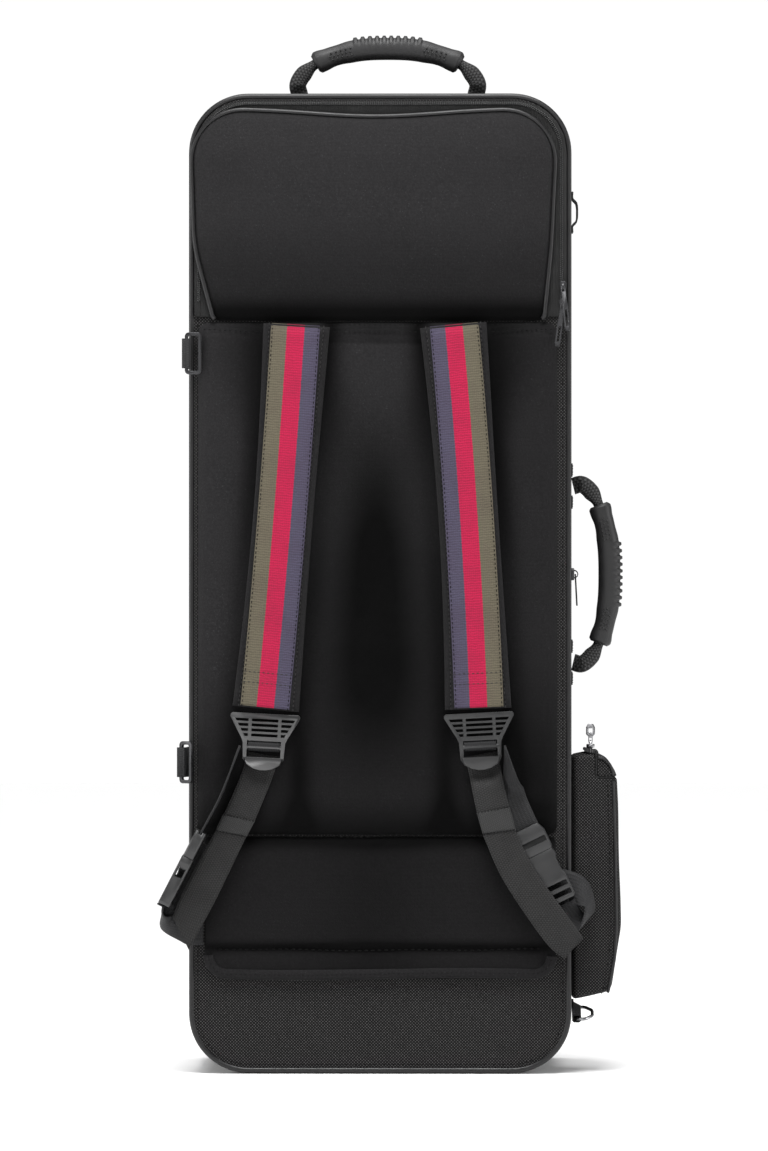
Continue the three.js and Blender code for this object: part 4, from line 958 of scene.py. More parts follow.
def make_finishes():
    """Every finish of the case, by name."""
    colours = bpy.context.scene.case_colours
    bands = (colours.olive, colours.crimson, colours.violet)
    return {
        "neoprene": knit_finish("neoprene_knit", tuple(colours.neoprene)),
        "binding": knit_finish("binding_knit", tone(colours.neoprene, 0.8), wale=0.7, lint=0.3),
        "twill": twill_finish("nylon_twill", tuple(colours.twill)),
        "webbing": webbing_finish("black_webbing", (0.008, 0.008, 0.0085)),
        "handle_band": webbing_finish(
            "ribbed_handle_webbing", (0.0055, 0.0055, 0.0055), rib=2.8, column=2.0, light=8.0,
        ),
        "tail": webbing_finish(
            "fine_grey_webbing", (0.0045, 0.0044, 0.0044), rib=2.2, column=2.1, light=4.3,
        ),
        "striped": striped_finish("striped_webbing_cloth", bands, (14.2, 15.3)),
        "hem": webbing_finish("doubled_hem_webbing", (0.011, 0.011, 0.011), rib=1.4, column=1.7, light=3.0),
        "tape": webbing_finish("zip_tape_cloth", (0.0048, 0.0048, 0.0048), rib=1.0, column=1.4, light=2.2),
        "coil": smooth_finish("zip_coil_nylon", (0.022, 0.022, 0.022), 0.36, depth=0.02),
        "piping": smooth_finish(
            "vinyl_piping", (0.0062, 0.006, 0.0064), 0.38, grain=1.6, depth=0.06, Specular_IOR_Level=0.36,
        ),
        "plastic": smooth_finish("moulded_nylon", (0.013, 0.013, 0.0135), 0.36, grain=0.7, depth=0.03),
        "rubber": smooth_finish(
            "grip_rubber_matt", (0.0115, 0.0113, 0.0117), 0.5, grain=0.8, depth=0.06,
            Specular_IOR_Level=0.35,
        ),
        "black_metal": smooth_finish(
            "black_plated_metal", (0.035, 0.035, 0.037), 0.28, grain=1.2, depth=0.015, Metallic=0.7,
        ),
        "chrome": smooth_finish(
            "chrome_plate", (0.3, 0.3, 0.31), 0.22, grain=2.5, depth=0.01, mottle=0.1, Metallic=1.0,
        ),
        "plush": plush_finish("pile_lining", (0.02, 0.02, 0.024)),
        "thread": smooth_finish(
            "grey_thread", (0.019, 0.018, 0.018), 0.7, grain=0.35, depth=0.08, Specular_IOR_Level=0.25,
        ),
        "dark_thread": smooth_finish(
            "black_thread", (0.0035, 0.0035, 0.0035), 0.8, grain=0.35, depth=0.08, Specular_IOR_Level=0.1,
        ),
    }


FINISH = {}


# Places of the sewn pieces, seen from the back, as x and z in millimetres from the rim plane

CASE_BACK = -110.0
# From the rim plane to each shell's rim, to the piping on its edge and to the seam beside the piping
SHELL_RIM, EDGE_PIPING, EDGE_SEAM = 5.0, 107.4, 109.5
ZIP_INSET = 1.6
# From the rim plane to the zip's tape, teeth and stitches, on both its sides
ZIP_TAPE, ZIP_TEETH, ZIP_STITCHES = 2.45, 0.78, 3.9
# The cloth's way out on the back of the case
BACKWARD = (0, -1, 0)
# How far each ring of a shell's flat face lies in from its edge, and how far up its wall each ring lies
FACE_INSETS = (150, 130, 105, 80, 58, 40, 26, 15, 9, 6.2)
WALL_SHARES = (0.012, 0.035, 0.07, 0.14, 0.28, 0.44, 0.6, 0.76, 0.88, 0.95)
LINING_INSETS = (40, 90, 150)
# Both ends of a handle lie this far from its middle
HANDLE_REACH = 78
HANDLES = {
    "top": {"rise": 46, "place": (6, -50, 862.2), "out": (0, 0, 1)},
    "side": {"rise": 36, "place": (170.2, -42, 438), "out": (1, 0, 0)},
}
# Where a grip starts on its handle's line, and its share of that line
GRIP_START, GRIP_SHARE = 0.17, 0.66
# The cloth hinge's lower and upper ends, where it lies across the case, and its depth on both sides
HINGE_SIDE = (90, 770)
HINGE_X, HINGE_DEPTH = -166.4, 2.4
# From a shoulder strap's middle line to its edge
STRAP_EDGE = 29
STRAP_DEPTH = -125.3
STRIPES_WIDTH = 43
WEBBING_WIDTH = 29
# From a ladder lock's place to the bar that its webbing goes round, and the bar's depth
LOCK_BAR, LOCK_BAR_DEPTH = -28.6, -126.2
LOCKS = {"left": (-100.2, 315.8, 3), "right": (86.4, 316.6, -3)}
TAILS = {
    "left": [
        ((-116.5, -122.9, 283), (-88.5, -122.9, 278)), ((-121.5, -123.8, 263), (-95.5, -123.8, 256)),
        ((-135.2, -130.5, 231), (-108.2, -130.5, 225)), ((-137.2, -131.2, 227.6), (-109.4, -131.2, 222)),
        ((-143.6, -132.6, 213.6), (-116.5, -132.6, 208.6)),
        ((-145.8, -133.2, 210.4), (-118.9, -133.2, 204)),
        ((-167.8, -135.5, 169.5), (-143.4, -135.5, 153.2)), ((-181.5, -137, 138.7), (-167, -137, 109.5)),
    ],
    "right": [
        ((74.6, -122.9, 278), (102.6, -122.9, 283)), ((78.2, -124, 262), (106.4, -124, 266)),
        ((80.4, -131, 250), (108.7, -131, 254)), ((84.9, -134, 229.2), (113.3, -134, 234.4)),
        ((90.1, -135.6, 211), (118.6, -135.6, 214.5)), ((91.6, -136, 206.4), (120.9, -136, 208.6)),
        ((108.9, -136.6, 168.6), (136, -136.6, 179)), ((144, -136.6, 117.2), (170, -136.6, 131.4)),
        ((161, -136.6, 101.8), (177.7, -136.6, 119.8)),
    ],
}
FOLDS = {
    "left": {
        "fold": (
            [(-187.5, -133, 146), (-181, -126, 152), (-172, -121.5, 168), (-163, -120.5, 190),
             (-157, -121, 203)],
            [(0.9, 0, -0.44)] * 3 + [(0.92, 0, -0.4)] * 2, 17,
        ),
        "turn": ([(-185, -132, 150), (-185.5, -132, 142), (-184.5, -130, 132)], [(1, 0, -0.15)] * 3, 11),
    },
    "right": {
        "fold": (
            [(156.4, -121.9, 141), (154, -119.8, 150), (148, -118.8, 163), (141, -118.6, 178),
             (136, -118.6, 189)],
            [(0.9, 0, 0.437)] * 5, 24,
        ),
    },
}
LOWER_WEBBING = {
    "left": {
        "strand": (
            [(-158.2, -138.5, 208.3), (-150.2, -138.5, 222.9), (-138.3, -138.5, 246), (-122.3, -137, 288)],
            [(0, -1, 0), (0, -1, 0), (0, -1, 0), (0.05, -1, 0)],
        ),
        "anchor": (
            [(-155, -112.1, 127), (-166, -113.6, 127), (-176, -119.5, 128.5), (-189, -129.5, 132.5),
             (-190.2, -136.5, 141), (-189.1, -138.5, 148.3)],
            [(0, 0, 1), (0, 0.1, 1), (0, -0.55, 0.9), (0.2, -1, 0.45), (0.05, -1, 0.1), (0, -1, 0)],
        ),
    },
    "right": {
        "strand": (
            [(127.7, -126, 209.8), (121.4, -126, 222.6), (113.8, -126.6, 241), (113.9, -130.6, 252),
             (113, -135, 264), (109.4, -137.2, 288)],
            [(0.9, 0, 0.437), (0.9, 0, 0.437), (0.9, -0.1, 0.437), (0.6, -0.8, 0.28), (0.33, -0.95, 0.12),
             (0, -1, 0)],
        ),
        "anchor": (
            [(155, -112.1, 166), (165, -114, 164), (177.5, -118.5, 159), (184, -121, 147), (179, -123.5, 133),
             (168, -125.5, 133), (159.4, -126, 143.4), (157.6, -126, 147.8)],
            [(0, 0, 1), (0, 0.15, 1), (0.25, 0.6, 0.75), (0.3, 1, 0.1), (0.45, 0.75, 0.5), (0.7, 0.4, 0.6),
             (0.9, 0, 0.437), (0.9, 0, 0.437)],
        ),
    },
}
STRAP_TOP = 656.0
STRAP_DROP = 336.0
STRAPS = {
    "left": {"top": -72.9, "lean": -20.8, "bow": -6.3, "outer": -1},
    "right": {"top": 64.1, "lean": 31.2, "bow": -9.3, "outer": 1},
}
FLAP_OUTLINE = resampled(rounded(
    [(-146, 660), (144, 660), (150, 725), (156, 846), (-167, 846), (-163, 725)], [7, 7, 160, 46, 46, 160],
), 440, True)
FLAP_OUTLINE[:, 1] -= 6.5 * (FLAP_OUTLINE[:, 1] > 800) * np.exp(-((FLAP_OUTLINE[:, 0] + 4) / 78) ** 2)
FLAP_CORNERS = ((-146, 660), (144, 660), (147, 838), (-158, 838))
# Depths of the pocket front's edge and rear, of its piping and of its zip
FLAP_EDGE, FLAP_REAR, FLAP_PIPING, POCKET_ZIP = -113.0, -112.95, -115.2, -113.1
# The bodies that the pocket's front joins, and the stretch over which it bends between them
FLAP_BEND = (("base", "flap"), (0, -112, 656), (0, -112, 682))
BACK_PAD_OUTLINE = rounded(rectangle(-160, 209, 155.5, 659), [8, 8, 9, 9], 5)
LUMBAR_OUTLINE = rounded(rectangle(-154, 84, 154, 208), [19, 19, 3, 3], 8)
# The depth of both pads' rear faces
PAD_REAR = -110.4
# How fully a pad swells, by the distance from its edge
SOFT_EDGE = [(0, 0.0), (1.0, 0.34), (2.5, 0.58), (5, 0.78), (9, 0.92), (15, 0.985), (24, 1.0)]
# The left and right ends of the hem along the back pad's top, between the straps
HEM_SPANS = ((-157, -101), (-43, 34), (96, 153))
# Depths of the hem's two rows of stitches, of the back pad's seam, and of the lower pad's seam and binding
HEM_ROWS = (-118.4, -116.9)
BACK_SEAM, LOWER_SEAM, BINDING = -114.6, -116.2, -114.6
# Long stitches of the seams across the back
SEAM_STITCH = {"length": 3.9, "spacing": 5.8}
# The pouch's two flat sides, as the depth of its seams and the way out
POUCH_SIDES = ((-94.2, -1), (-8.8, 1))
# The upper curve of the pouch's lid, as its middle and both its radii
POUCH_ARCH = (190.5, 260.2, 14.2, 16.9)
# The pale floor's half width, and its level just below the case
FLOOR_REACH, FLOOR_LEVEL = 9000, -0.6
# Name, place, height of the point it aims at, size and power of each softbox, in metres and watts
SOFTBOXES = (
    ("left_softbox", (-2.4, -0.8, 1.0), 0.45, 1.5, 34),
    ("right_softbox", (2.4, -0.8, 1.0), 0.45, 1.5, 26),
    ("top_softbox", (0.0, -1.3, 2.5), 0.55, 1.2, 66),
    ("front_softbox", (0.0, -3.4, 1.5), 0.45, 1.6, 12),
)
# What the camera aims at and how high its frame reaches there, in metres, and its sensor in millimetres
CAMERA_AIM = (0.0035, -0.07, 0.4368)
SEEN_HEIGHT = 1.0085
SENSOR_HEIGHT = 36


def strap_point(side, t):
    """The middle line of a shoulder strap, from its top end."""
    strap = STRAPS[side]
    return strap["top"] + strap["lean"] * t + strap["bow"] * t * t, STRAP_TOP - STRAP_DROP * t


def strap_middle(side, z):
    """The middle of a shoulder strap at a height, held at its ends."""
    return strap_point(side, np.clip((STRAP_TOP - z) / STRAP_DROP, 0, 1))[0]


def back_pad_valley(x, z):
    """How far the back pad falls away in its middle."""
    dip = 6 * np.exp(-((x + 4) / 34) ** 2)
    return dip * smoothstep(z, 215, 330) * (1 - smoothstep(z, 560, 650))


def bulge(x, z, seed, size, amount):
    """Soft unevenness of stuffed cloth."""
    draw = np.random.default_rng(seed)
    total = np.zeros(np.shape(x))
    for _ in range(7):
        turn = draw.uniform(0, 2 * math.pi)
        pace = 2 * math.pi / (size * draw.uniform(0.7, 1.8))
        shift = draw.uniform(0, 2 * math.pi)
        total = total + np.sin((x * math.cos(turn) + z * math.sin(turn)) * pace + shift)
    return amount * total / 3.5


def hem_line(x):
    """The stitched line of the hem along the back pad's top, which dips at the straps."""
    return 648.6 + 2.4 * smoothstep(np.abs(np.asarray(x) + 3), 90, 156)


def lumbar_seam(x):
    """The wavy seam across the lower pad."""
    return 109.6 - 1.4 * np.sin((x + 150) / 95) + 0.5 * np.sin(x / 17)


def stand_in(node, name, body, finish, edge, sharp=50):
    """Puts a copy of a rigid solid, with its edges rounded over, in the solid's place."""
    finished(softened(node, name, FINISH[finish], edge, sharp=sharp), body, [node])


def slider_and_pull(zip_name, finish):
    for piece, kind in (("slider", "body"), ("pull", "leaf")):
        node = f"{zip_name}_{piece}"
        stand_in(node, f"{node}_{kind}", f"{zip_name}_zip_{piece}", finish, 0.35)


class CASE_OT_shells(bpy.types.Operator):
    """Dress the two padded shells in nylon twill"""
    bl_idname = "case.shells"
    bl_label = "Shells"

    def execute(self, context):
        for body, rim, face in (("base", -SHELL_RIM, CASE_BACK), ("lid", SHELL_RIM, -CASE_BACK)):
            points, faces = loft(self.rings(context.scene.case_sizes, rim, face))
            made = new_object(f"{body}_shell_cloth", points, faces, FINISH["twill"])
            finished(made, body, [f"{body}_shell"])
        return {"FINISHED"}

    def rings(self, sizes, rim, face):
        """Rings from the middle of the face, over the wall and its rim, to the middle of the inside."""
        wall = sizes.wall / MM
        side = math.copysign(1, face)
        rings = []
        for inset in FACE_INSETS:
            outline = case_outline(sizes, inset)
            wave = bulge(outline[:, 0], outline[:, 1], 4 if side < 0 else 5, 95, 0.45)
            settle = min((inset - FACE_INSETS[-1]) / 20, 1.0)
            rings.append(in_plane(outline, face - side * 0.5 + wave * settle))
        outline = case_outline(sizes, 0)
        inward = np.array([0, sizes.height / MM / 2]) - outline
        inward = inward / np.linalg.norm(inward, axis=1)[:, None]
        for share in WALL_SHARES:
            y = rim + (face - rim) * (1 - share)
            bow = 0.35 + 0.55 * math.sin(math.pi * share)
            wave = bulge(outline[:, 0] + outline[:, 1], np.full(len(outline), y), 8, 120, 0.3)
            inset = np.clip(bow + wave * math.sin(math.pi * share), 0.1, 2)[:, None]
            at_corner = share < 0.04
            ring = case_outline(sizes, 5.2 - 90 * share) if at_corner else outline + inward * inset
            rings.append(in_plane(ring, y))
        bottom = rim + (abs(face - rim) - wall) * side
        for inset, y in (
            (1.2, rim + side * 0.2), (2.4, rim), (wall - 1.5, rim), (wall, rim + side),
            (wall, (rim + bottom) / 2), (wall, bottom),
        ):
            rings.append(in_plane(case_outline(sizes, inset), y))
        for inset in LINING_INSETS:
            rings.append(in_plane(case_outline(sizes, inset), face - side * wall))
        return rings


class CASE_OT_piping(bpy.types.Operator):
    """Sew piping round the outer edge of each shell"""
    bl_idname = "case.piping"
    bl_label = "Edge piping"

    def execute(self, context):
        sizes = context.scene.case_sizes
        radius = sizes.piping / MM
        for body, side in (("base", -1), ("lid", 1)):
            outline = resampled(case_outline(sizes, radius + 0.02, 16), 560, True)
            line = (in_plane(outline, EDGE_PIPING * side), BACKWARD, True)
            made = piping_cord(f"{body}_piping_cord", [line], radius, spacing=3.2, sides=14)
            finished(made, body, [f"{body}_piping"])
            seam = resampled(case_outline(sizes, radius * 2 + 2.6), 500, True)
            line = (in_plane(seam, EDGE_SEAM * side), (0, side, 0), True)
            finished(stitches(f"{body}_edge_stitches", [line], 3), body)
        return {"FINISHED"}


class CASE_OT_main_zip(bpy.types.Operator):
    """Make the zip round three sides and the cloth hinge on the fourth"""
    bl_idname = "case.main_zip"
    bl_label = "Main zip"

    def execute(self, context):
        route = self.route(context.scene.case_sizes)
        along = np.gradient(route, axis=0)
        outs = np.stack([along[:, 1], np.zeros(len(route)), -along[:, 0]], axis=1)
        outs /= np.linalg.norm(outs, axis=1, keepdims=True)
        gap = context.scene.case_sewing.tooth_gap / MM
        tape = FINISH["tape"]
        for body, side in (("base", -1), ("lid", 1)):
            path = in_plane(route, ZIP_TAPE * side)
            made = swept(f"{body}_zip_cloth", path, (0, 1, 0), flat_section(4.1, 2.1), tape)
            finished(made, body, [f"{body}_zip_tape"])
            coil = path + outs * 1.05
            coil[:, 1] = ZIP_TEETH * side
            made = teeth(f"{body}_zip_teeth", [(coil, outs, False)], 7, 1.3, 1.3, 1.4, gap)
            finished(made, body)
            edge = in_plane(route, ZIP_STITCHES * side) + outs * 1.15
            made = stitches(f"{body}_zip_stitches", [(edge, outs, False)], 9 + side)
            finished(made, body)
            z = np.linspace(HINGE_SIDE[0] + 2, HINGE_SIDE[1] - 2, 90)
            path = line_at(np.full(90, HINGE_X), z, HINGE_DEPTH * side)
            made = swept(f"{body}_hinge_cloth", path, (0, 1, 0), flat_section(4.2, 2.1), tape)
            finished(made, body, [f"{body}_hinge_tape"])
        slider_and_pull("main", "black_metal")
        return {"FINISHED"}

    def route(self, sizes):
        """The case's outline without the stretch that the cloth hinge takes, from its lower end round."""
        outline = case_outline(sizes, ZIP_INSET, 14)
        left = -sizes.width / MM / 2 + ZIP_INSET
        start = np.argmin(np.hypot(outline[:, 0] - left, outline[:, 1] - 52))
        ordered = np.roll(outline, -start, axis=0)
        if ordered[5, 0] < ordered[0, 0] + 0.01:
            ordered = np.roll(outline[::-1], start + 1, axis=0)
        on_hinge = (np.abs(ordered[:, 0] - left) < 0.05) & (ordered[:, 1] > 60) & (ordered[:, 1] < 800)
        return resampled(np.vstack([(left, HINGE_SIDE[0]), ordered[~on_hinge], (left, HINGE_SIDE[1])]), 620)


class CASE_OT_interior(bpy.types.Operator):
    """Line the inside with pile, and lay the bed, the box lid and the hold-down strap"""
    bl_idname = "case.interior"
    bl_label = "Interior"

    def execute(self, context):
        for name, node, body, edge in (
            ("bed_pile", "bed_foam", "base", 2.4), ("lid_lining_pile", "lid_lining", "lid", 2.4),
            ("accessory_lid_pile", "accessory_lid", "accessory_box_lid", 1.2),
        ):
            made = softened(node, name, FINISH["plush"], edge=edge, segments=3)
            finished(made, body, [node])
        stand_in("body_strap", "hold_down_band", "hold_down_strap", "webbing", 0.5)
        return {"FINISHED"}


class CASE_OT_pocket(bpy.types.Operator):
    """Make the stuffed pocket front with its piping and zip"""
    bl_idname = "case.pocket"
    bl_label = "Back pocket"

    def execute(self, context):
        def shape(x, z, inside):
            grown = 17 * (0.08 + 0.92 * smoothstep(z, 654, 747)) * np.clip(inside / 34, 0, 1) ** 0.75
            return grown + bulge(x, z, 21, 70, 0.5) * np.clip(inside / 20, 0, 1)

        corners = [int(np.argmin(np.hypot(*(FLAP_OUTLINE - corner).T))) for corner in FLAP_CORNERS]
        made = cushion("pocket_flap_cloth", FLAP_OUTLINE, corners, 5.5, FLAP_EDGE, 2.1, shape, FLAP_REAR)
        made = stuffed(made, 3.0, held_rim(FLAP_OUTLINE, 6, -113.5))
        # Painted shade: the pocket front darkens towards its lower edge, where it curves in away from the
        # light.
        mark_painted_shade(made, lambda x, z: (
            0.9 * (1 - smoothstep(z, 660, 690)) + 0.35 * (1 - smoothstep(z, 690, 760))
        ))
        bending(made, *FLAP_BEND, ["pocket_flap"], "neoprene", fill=0.45)
        rim = resampled(FLAP_OUTLINE, 700, True)
        upper = opened(rim[rim[:, 1] > 661.5])
        made = piping_cord("pocket_piping_cord", [(in_plane(upper, FLAP_PIPING), BACKWARD, False)], 1.9)
        bending(made, *FLAP_BEND, ["pocket_flap_piping"], "piping")
        stand_in("pocket_zip_tape", "pocket_zip_cloth", "base", "tape", 0.3)
        route = resampled(case_outline(context.scene.case_sizes, 9.0, 14), 900, True)
        route = opened(route[route[:, 1] > 676])
        inward = np.array([0, 750]) - route
        inward = inward / np.linalg.norm(inward, axis=1)[:, None]
        lines = [
            (in_plane(route + inward * shift, POCKET_ZIP), BACKWARD, False) for shift in (-0.75, 0.75)
        ]
        finished(teeth("pocket_zip_teeth", lines, 13), "base")
        for part in ("upper", "lower"):
            slider_and_pull(f"pocket_{part}", "black_metal")
        return {"FINISHED"}


class CASE_OT_back_pad(bpy.types.Operator):
    """Make the stuffed pad that rests on the player's back, with its hems and its lower seam"""
    bl_idname = "case.back_pad"
    bl_label = "Back pad"

    def execute(self, context):
        def shape(x, z, inside):
            return (bulge(x, z, 31, 85, 0.45) - back_pad_valley(x, z)) * np.clip(inside / 12, 0, 1)

        made = cushion("back_pad_cloth", BACK_PAD_OUTLINE, [0, 6, 12, 18], 5.0, PAD_REAR, 9.8, shape)
        made = stuffed(made, 2.0, held_rim(BACK_PAD_OUTLINE, 7, PAD_REAR - 0.4))
        made = mark_painted_shade(relief(made, self.pressed), self.nap)
        finished(made, "base", ["back_pad"])
        lines = []
        for left, right in HEM_SPANS:
            x = np.linspace(left + 3, right - 3, 60)
            z = hem_line(x) + 1.6
            lines.append((line_at(x, z, HEM_ROWS[0]), (0, -1, 0.1), False))
            lines.append((line_at(x, z + 6.4, HEM_ROWS[1]), (0, -1, 0.3), False))
        made = stitches("back_pad_hem_stitches", lines, 15, width=1.0, height=1.0)
        finished(made, "base")
        x = np.linspace(-151, 147, 200)
        z = 208.4 + 0.5 * np.sin(x / 23) + 0.3 * np.sin(x / 9)
        seam = (line_at(x, z, BACK_SEAM), BACKWARD, False)
        made = stitches("back_pad_seam_stitches", [seam], 16, width=1.7, height=1.6, **SEAM_STITCH)
        finished(made, "base")
        return {"FINISHED"}

    def nap(self, x, z):
        """Painted shade down the hollow of the back and beside the straps, and over the lower part, the right
        side and the top middle.
        """
        wide = 22 + 32 * smoothstep(-z, -580, -380)
        valley = np.exp(-((x + 4) / wide) ** 2)
        upper = smoothstep(z, 460, 600)
        shade = 1.12 * valley * smoothstep(z, 225, 380) * (1 - smoothstep(z, 450, 625))
        shade = shade + 0.52 * (1 - smoothstep(z, 240, 400)) + 0.34 * smoothstep(x, 60, 140) * (1 - valley)
        for side, strap in STRAPS.items():
            outside = (x - strap_middle(side, z)) * strap["outer"]
            reach = 13 + 22 * smoothstep(z, 540, 650)
            shade = shade + 0.8 * np.exp(-((outside - 27) / reach) ** 2) * smoothstep(z, 400, 600)
            inner = 11 + 26 * (1 - smoothstep(z, 500, 640))
            shade = shade + 0.8 * np.exp(-((outside + STRAP_EDGE) / inner) ** 2) * upper * (outside < 0)
            shade = shade + 0.45 * np.exp(-((np.abs(outside) - STRAP_EDGE) / 12) ** 2) * (1 - upper)
        shade = shade + 0.4 * (1 - smoothstep(z, 209, 250))
        return shade + 0.5 * (1 - smoothstep(np.abs(x + 2), 0, 60)) * (z > 640)

    def pressed(self, x, z):
        """How deep the hem at the top and the straps press into the pad."""
        depth = np.zeros_like(x)
        line = hem_line(x)
        for left, right in HEM_SPANS:
            share = smoothstep(x, left - 2, left + 1) * (1 - smoothstep(x, right - 1, right + 2))
            depth += share * groove(z - line, 1.7, 2.4)
            depth += share * 1.6 * smoothstep(z, line + 1, line + 3)
        for side in STRAPS:
            near = np.abs(np.abs(x - strap_middle(side, z)) - STRAP_EDGE)
            pinch = groove(near, 8, 1.5) * smoothstep(z, 330, 420)
            depth += pinch + groove(near, 17, 1.6) * smoothstep(z, 520, 640)
        return depth


class CASE_OT_lumbar_flap(bpy.types.Operator):
    """Make the lower pad with its seam and its bound edge"""
    bl_idname = "case.lumbar_flap"
    bl_label = "Lower pad"

    def execute(self, context):
        def shape(x, z, inside):
            return bulge(x, z, 41, 80, 0.5) * np.clip(inside / 12, 0, 1)

        made = cushion("lumbar_flap_cloth", LUMBAR_OUTLINE, [0, 9, 18, 27], 4.2, PAD_REAR, 7.8, shape)
        made = stuffed(made, 1.5, held_rim(LUMBAR_OUTLINE, 7, PAD_REAR - 0.4))
        made = mark_painted_shade(relief(made, self.pressed), self.nap)
        finished(made, "base", ["lumbar_flap"])
        x = np.linspace(-140, 139, 190)
        seam = (line_at(x, lumbar_seam(x), LOWER_SEAM), BACKWARD, False)
        made = stitches("lumbar_seam_stitches", [seam], 18, width=1.6, height=1.5, **SEAM_STITCH)
        finished(made, "base")
        edge = rounded(rectangle(-150.5, 87.6, 150.5, 230), [16, 16, 3, 3], 10)
        edge = resampled(opened(edge[edge[:, 1] < 202]), 260)
        edge[:, 1] += 1.1 * np.sin(edge[:, 0] / 44) * (edge[:, 1] < 110)
        path = in_plane(edge, BINDING)
        along = np.gradient(edge, axis=0)
        inward = np.stack([-along[:, 1], np.zeros(len(edge)), along[:, 0]], axis=1)
        made = swept("lumbar_binding", path, inward, pillow_section(9.6, 8.6, 2.8, 16), FINISH["binding"])
        finished(made, "base")
        made = stitches("lumbar_binding_stitches", [(path + [0, -4.2, 0], BACKWARD, False)], 19)
        finished(made, "base")
        return {"FINISHED"}

    def nap(self, x, z):
        """Painted shade beside both seams; the whole pad, and its middle more, is darker too."""
        seams = np.exp(-((z - 206) / 9) ** 2) + np.exp(-((z - 111) / 5) ** 2)
        return 0.5 * seams + 0.52 + 0.2 * np.exp(-((x + 6) / 50) ** 2)

    def pressed(self, x, z):
        """How deep the seam and the short groove at its right end are."""
        ends = smoothstep(x, -148, -140) * (1 - smoothstep(x, 138, 143))
        depth = groove(z - lumbar_seam(x), 2.3, 2.8) * ends
        return depth + groove(x - 143, 1.6, 1.8) * (z < 110) * (z > 96)


class CASE_OT_shoulder_straps(bpy.types.Operator):
    """Make both padded straps with their striped webbing"""
    bl_idname = "case.shoulder_straps"
    bl_label = "Shoulder straps"

    def execute(self, context):
        for side in ("left", "right"):
            self.strap(side)
        return {"FINISHED"}

    def strap(self, side):
        """A padded strip with bound edges, and the striped webbing with its rows of stitches on it."""
        t = np.concatenate([[0, 0.004, 0.012, 0.022], np.linspace(0.035, 0.975, 70), [0.988, 0.996, 1.0]])
        x, z = strap_point(side, t)
        strap = STRAPS[side]
        slope = (strap["lean"] + 2 * strap["bow"] * t) / STRAP_DROP
        across = np.stack([np.ones_like(t), np.zeros_like(t), slope], axis=1) * -strap["outer"]
        bend = (("base", f"{side}_strap"), (x[0], -125, 657), (x[0], -125, 618))
        thick = np.interp(t, [0, 0.012, 0.04, 0.975, 0.992, 1], [0.35, 0.8, 1, 1, 0.8, 0.3])
        middle = line_at(x, z, STRAP_DEPTH)
        wide = 57 - 6 * np.sin(math.pi * t)
        made = swept(
            f"{side}_strap_pad_cloth", middle, across, pillow_section(1, 1, 5, 28), FINISH["neoprene"],
            wide=wide - 2.5, thick=thick * 7.8,
        )
        bending(made, *bend, [f"{side}_strap_pad"], "neoprene", fill=0.5)
        for edge, place in ((-1, "outer"), (1, "inner")):
            path = middle + across * (edge * (wide / 2 - 2.6))[:, None]
            made = swept(
                f"{side}_strap_binding_{place}", path, across, pillow_section(6.4, 1, 3.2, 18),
                FINISH["binding"], thick=thick * 8.4,
            )
            bending(made, *bend, slot="neoprene")
        web = t < 0.999
        t, middle, across, wide = t[web], middle[web], across[web], wide[web]
        path = middle + [0, -5.1, 0] - across * 0.8
        path[:, 1] += np.interp(t, [0, 0.004, 0.012, 0.022, 0.035], [7.5, 4.4, 1.3, 0.3, 0])
        section = flat_section(STRIPES_WIDTH, 1.5)
        made = swept(f"{side}_strap_stripes", path, across, section, FINISH["striped"])
        bending(made, *bend, [f"{side}_strap_webbing"], "striped_webbing")
        on_webbing = np.array([0, -0.9, 0])
        lines, rims = [], []
        for edge in (-1, 1):
            rims.append((path + across * (edge * 20.1) + on_webbing, BACKWARD, False))
            row = middle + across * (edge * (wide / 2 - 4.6))[:, None] + [0, -4.35, 0]
            lines.append((row, BACKWARD, False))
        for share in (0.905, 0.93):
            k = int(share * len(path))
            row = path[k] + across[k] * np.linspace(-20, 20, 12)[:, None] + on_webbing
            lines.append((row, BACKWARD, False))
        for name, rows, thread in (("stitches", lines, "thread"), ("edge_stitches", rims, "dark_thread")):
            made = stitches(f"{side}_strap_{name}", rows, 11, thread, length=2.6, spacing=3.9)
            bending(made, *bend, slot="striped_webbing")


